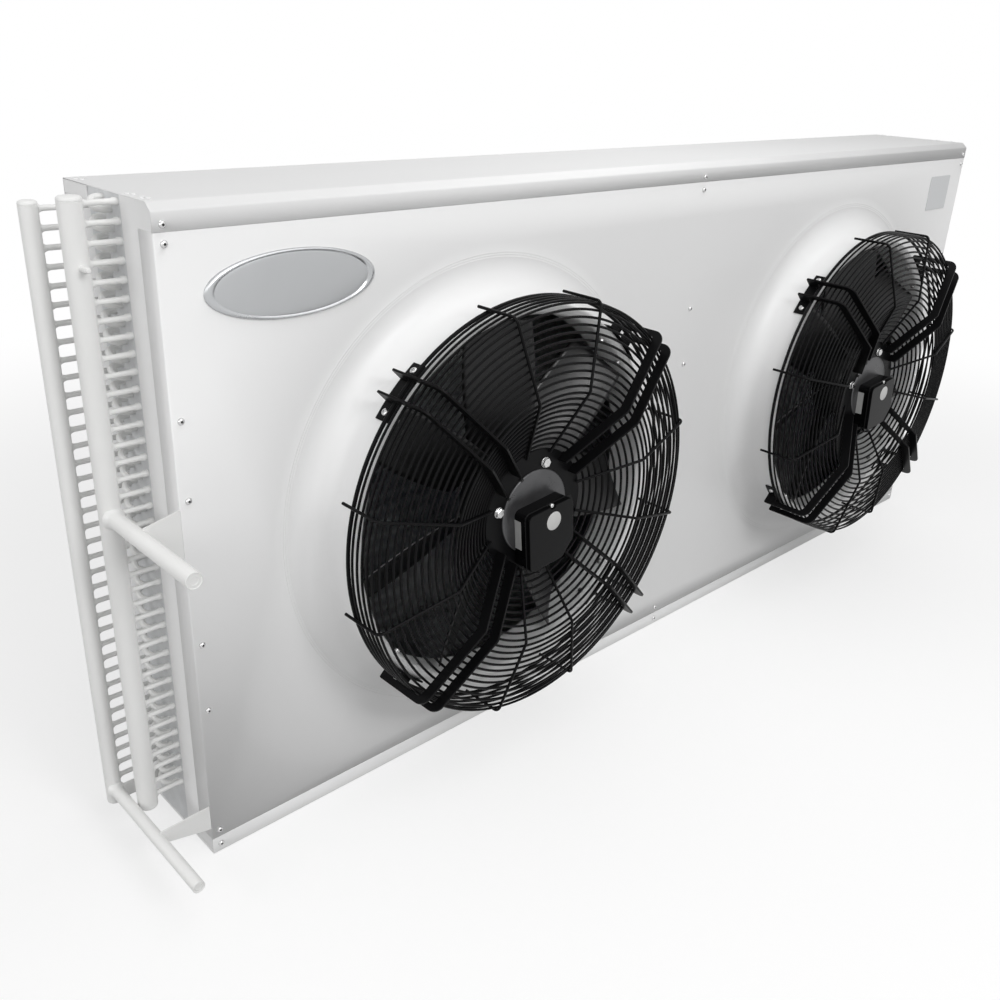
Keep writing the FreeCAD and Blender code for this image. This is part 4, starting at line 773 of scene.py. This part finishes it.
TIP, HUB, HUB_WALL, HUB_REACHES = 320.0, 82.0, 5.0, (30.0, 104.0)
BLADES, FIRST_BLADE, BLADE_MIDDLE, BLADE_SHEET, CAMBER = 7, 42.3, 46.0, 3.0, 0.06
# Half the width and half the depth of the blade's section at its root, middle and tip.
HALF_WIDTHS, HALF_DEPTHS = (38.0, 50.0, 44.0), (39.0, 36.0, 32.0)
BLADE_ANGLES = [FIRST_BLADE + index * 360 / BLADES for index in range(BLADES)]


def through_three(share, root, middle, tip):
    return root + share * (4 * middle - 3 * root - tip) + share ** 2 * 2 * (root + tip - 2 * middle)


def blade_point(radius, along):
    """A point across the blade, from -1 at one edge to 1 at the other, in the section at a radius."""
    share = (radius - HUB) / (TIP - HUB)
    width, depth = through_three(share, *HALF_WIDTHS), through_three(share, *HALF_DEPTHS)
    chord = math.hypot(width, depth)
    bulge = 2 * chord * CAMBER * (1 - along ** 2)
    return front_point(radius, BLADE_MIDDLE - depth * along - width / chord * bulge,
                       width * along - depth / chord * bulge)


def trimmed(radius, along):
    """The section in which a line along the blade meets a cylinder about the fan's axis."""
    section = radius
    for _ in range(5):
        section = math.sqrt(radius ** 2 - blade_point(section, along).z ** 2)
    return section


def blade():
    bm = bmesh.new()
    bmesh.ops.create_grid(bm, x_segments=28, y_segments=16, size=1.0)
    for vert in bm.verts:
        along, share = vert.co.y, (vert.co.x + 1) / 2
        root, tip = trimmed(HUB - HUB_WALL / 2, along), trimmed(TIP, along)
        vert.co = blade_point(root + (tip - root) * share, along)
    return facing(bm, FORWARD)


def hub():
    rear, front = HUB_REACHES
    return fan_lathe([(HUB / 2, rear), (HUB, rear), (HUB, front - 1.6), (HUB - 0.6, front - 0.4),
                      (HUB - 1.8, front), (HUB - HUB_WALL, front), (HUB - HUB_WALL, rear + HUB_WALL),
                      (HUB / 2, rear + HUB_WALL)], closed=True)


MOUNT_BOLT_ANGLES = [76.5 + quarter * 90 for quarter in range(4)]
MOUNT_RING = [(50, 127), (112, 127), (112, 131), (50, 131)]
NOTCH_ANGLES = [118, 148]

piece("motor_mount_bolt_heads", both_fans(lambda centre: copies(hex_bolt(), round_fan(
    MOUNT_BOLT_ANGLES, centre))), ZINC, ["motor_mount_bolts"], sharp=25)
piece("lid_screw_heads", both_fans(lambda centre: copies(lid_screw(), [box_place(centre)])), ZINC,
      ["lid_screws"])

for side, centre in FANS.items():
    here = [at(centre)]
    boxed = [box_place(centre)]
    rings = joined([wire_ring(*place, RING_WIRE) for place in ring_places()])
    piece(side + "_guard_wire_rings", copies(rings, here), BLACK, [side + "_guard_rings"])
    piece(side + "_guard_wire_spokes", copies(spoke(), round_fan(SPOKE_ANGLES, centre)), BLACK,
          [side + "_guard_spokes"])
    piece(side + "_guard_arm_plates", copies(guard_arm(), round_fan(ARM_ANGLES, centre)), BLACK,
          [side + "_guard_arms"], bevel=0.8)
    piece(side + "_motor_mount_ring", copies(fan_lathe(MOUNT_RING, closed=True), here), BLACK,
          [side + "_motor_mount_plate"], bevel=0.8)
    piece(side + "_motor_cover_disc", copies(cover_disc(), here), COVER, [side + "_stator_cover"],
          sharp=50)
    piece(side + "_cover_rim_notch_shade", copies(notch_shade_block(), round_fan(NOTCH_ANGLES, centre)), RECESS_SHADE)
    piece(side + "_terminal_box_shell", copies(terminal_box(), boxed), PLASTIC, [side + "_terminal_box"],
          bevel=0.8)
    piece(side + "_terminal_box_lid", copies(terminal_lid(), boxed), PLASTIC, [side + "_terminal_lid"],
          bevel=1.5)
    piece(side + "_lid_disc", copies(lid_disc(), boxed), LABEL)
    piece(side + "_box_side_label", copies(side_label(), boxed), LABEL)
    piece(side + "_impeller_blades", copies(blade(), round_fan(BLADE_ANGLES, centre)), BLADE,
          [side + "_impeller"], side + "_fan", sheet=BLADE_SHEET)
    piece(side + "_impeller_hub", copies(hub(), here), BLADE, body=side + "_fan")


# CAD nodes that are shown as they are

SHOWN = {
    WHITE: ["left_front_end_panel", "right_front_end_panel", "left_rear_end_panel", "right_rear_end_panel",
            "cover_rivets"],
    COIL_END_SHADED: ["left_tube_sheet", "right_tube_sheet"],
    GALVANISED: ["centre_baffle", "coil_base_channel"],
    PIPE_WHITE: ["coil_tubes", "gas_pipe_bracket", "liquid_pipe_bracket", "liquid_header_strap",
                 "vent_valve"],
    PLASTIC: ["cable_glands"],
    STEEL: ["motor_bearings", "left_motor_shaft", "right_motor_shaft"],
    CASTING: ["left_motor_stator", "right_motor_stator", "left_rotor_can", "right_rotor_can"],
}
for material, names in SHOWN.items():
    for name in names:
        shown = frame["nodes"][name]
        shown.data.materials.clear()
        shown.data.materials.append(material)


# Camera, light and floor. Places and distances here are in metres.

FLOOR_PALE, FLOOR_GLOW, FLOOR_FADE, SOFT_LEVEL = 0.42, 0.58, (1.3, 3.2), 0.32
LAMPS = {   # place, what it faces, size and power in watts
    "overhead": ((0.9, -0.45, 4.4), (0.5, 0, 0.6), (6.0, 2.4), 62),
    "above": ((0.3, -4.0, 3.6), (0.0, 0, 0.5), (5.0, 2.0), 18),
    "above_left": ((-1.6, -3.4, 3.4), (-0.8, 0, 0.5), (2.0, 2.0), 25),
    "front": ((-0.6, -3.9, 2.9), (-0.5, 0, 0.5), (1.3, 1.3), 42),
    "left_front": ((-3.4, -3.0, 2.6), (-1.0, 0, 0.5), (2.4, 1.8), 18),
    "left_end": ((-4.6, -0.2, 2.0), (-1.1, 0, 0.5), (2.4, 2.0), 45),
}


def camera():
    made = bpy.data.objects.new("Camera", bpy.data.cameras.new("Camera"))
    bpy.context.scene.collection.objects.link(made)
    right = Vector((0.72881672, -0.68354964, 0.03982565))
    up = Vector((0.25562606, 0.32559131, 0.91029974))
    back = Vector((-0.63520194, -0.65326119, 0.41202949))
    turn = Matrix((right, up, back)).transposed().to_4x4()
    made.matrix_world = Matrix.Translation((-1.71538, -1.35119, 1.23519)) @ turn
    made.data.sensor_width = 36.0
    made.data.lens = 36.0 * 1.01094
    made.data.clip_start = 0.05
    made.data.clip_end = 60.0
    bpy.context.scene.camera = made


def seen_as_background(tree):
    """One for the rays that show the background: straight from the camera, mirrored or through glass."""
    path = node(tree, "ShaderNodeLightPath")
    either = node(tree, "ShaderNodeMath", operation="MAXIMUM")
    seen = node(tree, "ShaderNodeMath", operation="MAXIMUM")
    tree.links.new(path.outputs["Is Camera Ray"], either.inputs[0])
    tree.links.new(path.outputs["Is Glossy Ray"], either.inputs[1])
    tree.links.new(either.outputs["Value"], seen.inputs[0])
    tree.links.new(path.outputs["Is Transmission Ray"], seen.inputs[1])
    return seen.outputs["Value"]


def floor():
    """Pale, with the casing's shadow, and fading into the white surroundings away from it."""
    material, tree = new_material("pale_floor")
    out = node(tree, "ShaderNodeOutputMaterial")
    matt = node(tree, "ShaderNodeBsdfDiffuse", Color=(FLOOR_PALE, FLOOR_PALE, FLOOR_PALE, 1))
    glow = node(tree, "ShaderNodeEmission", Strength=FLOOR_GLOW)
    lifted = node(tree, "ShaderNodeAddShader")
    white = node(tree, "ShaderNodeEmission", Strength=1.0)
    place = node(tree, "ShaderNodeTexCoord")
    distance = node(tree, "ShaderNodeVectorMath", operation="LENGTH")
    fade = node(tree, "ShaderNodeMapRange", interpolation_type="SMOOTHSTEP")
    fade.inputs["From Min"].default_value, fade.inputs["From Max"].default_value = FLOOR_FADE
    background = seen_as_background(tree)
    away = node(tree, "ShaderNodeMath", operation="MULTIPLY")
    near_mix = node(tree, "ShaderNodeMixShader")
    far_mix = node(tree, "ShaderNodeMixShader")
    tree.links.new(place.outputs["Object"], distance.inputs[0])
    tree.links.new(distance.outputs["Value"], fade.inputs["Value"])
    tree.links.new(fade.outputs["Result"], away.inputs[0])
    tree.links.new(background, away.inputs[1])
    tree.links.new(matt.outputs["BSDF"], lifted.inputs[0])
    tree.links.new(glow.outputs["Emission"], lifted.inputs[1])
    tree.links.new(background, near_mix.inputs["Fac"])
    tree.links.new(matt.outputs["BSDF"], near_mix.inputs[1])
    tree.links.new(lifted.outputs["Shader"], near_mix.inputs[2])
    tree.links.new(away.outputs["Value"], far_mix.inputs["Fac"])
    tree.links.new(near_mix.outputs["Shader"], far_mix.inputs[1])
    tree.links.new(white.outputs["Emission"], far_mix.inputs[2])
    tree.links.new(far_mix.outputs["Shader"], out.inputs["Surface"])
    bm = bmesh.new()
    bmesh.ops.create_grid(bm, x_segments=1, y_segments=1, size=30.0)
    mesh = bpy.data.meshes.new("Floor")
    bm.to_mesh(mesh)
    bm.free()
    mesh.materials.append(material)
    made = bpy.data.objects.new("Floor", mesh)
    bpy.context.scene.collection.objects.link(made)


def soft_light(name, place, target, size, power):
    light = bpy.data.objects.new(name, bpy.data.lights.new(name, "AREA"))
    light.data.shape = "RECTANGLE"
    light.data.size, light.data.size_y = size
    light.data.energy = power
    light.location = place
    light.rotation_mode = "QUATERNION"
    light.rotation_quaternion = (Vector(target) - Vector(place)).to_track_quat("-Z", "Y")
    bpy.context.scene.collection.objects.link(light)


def surroundings():
    """Soft light all round, and plain white for the rays that show the background."""
    world = bpy.data.worlds.new("Studio")
    world.use_nodes = True
    tree = world.node_tree
    tree.nodes.clear()
    out = node(tree, "ShaderNodeOutputWorld")
    soft = node(tree, "ShaderNodeBackground", Strength=SOFT_LEVEL)
    soft.inputs["Color"].default_value = (1, 1, 1, 1)
    plain = node(tree, "ShaderNodeBackground", Strength=1.0)
    plain.inputs["Color"].default_value = (1, 1, 1, 1)
    mix = node(tree, "ShaderNodeMixShader")
    tree.links.new(seen_as_background(tree), mix.inputs["Fac"])
    tree.links.new(soft.outputs["Background"], mix.inputs[1])
    tree.links.new(plain.outputs["Background"], mix.inputs[2])
    tree.links.new(mix.outputs["Shader"], out.inputs["Surface"])
    bpy.context.scene.world = world
    bpy.context.scene.view_settings.view_transform = "Standard"


camera()
floor()
surroundings()
for name, (place, target, size, power) in LAMPS.items():
    soft_light(name, place, target, size, power)
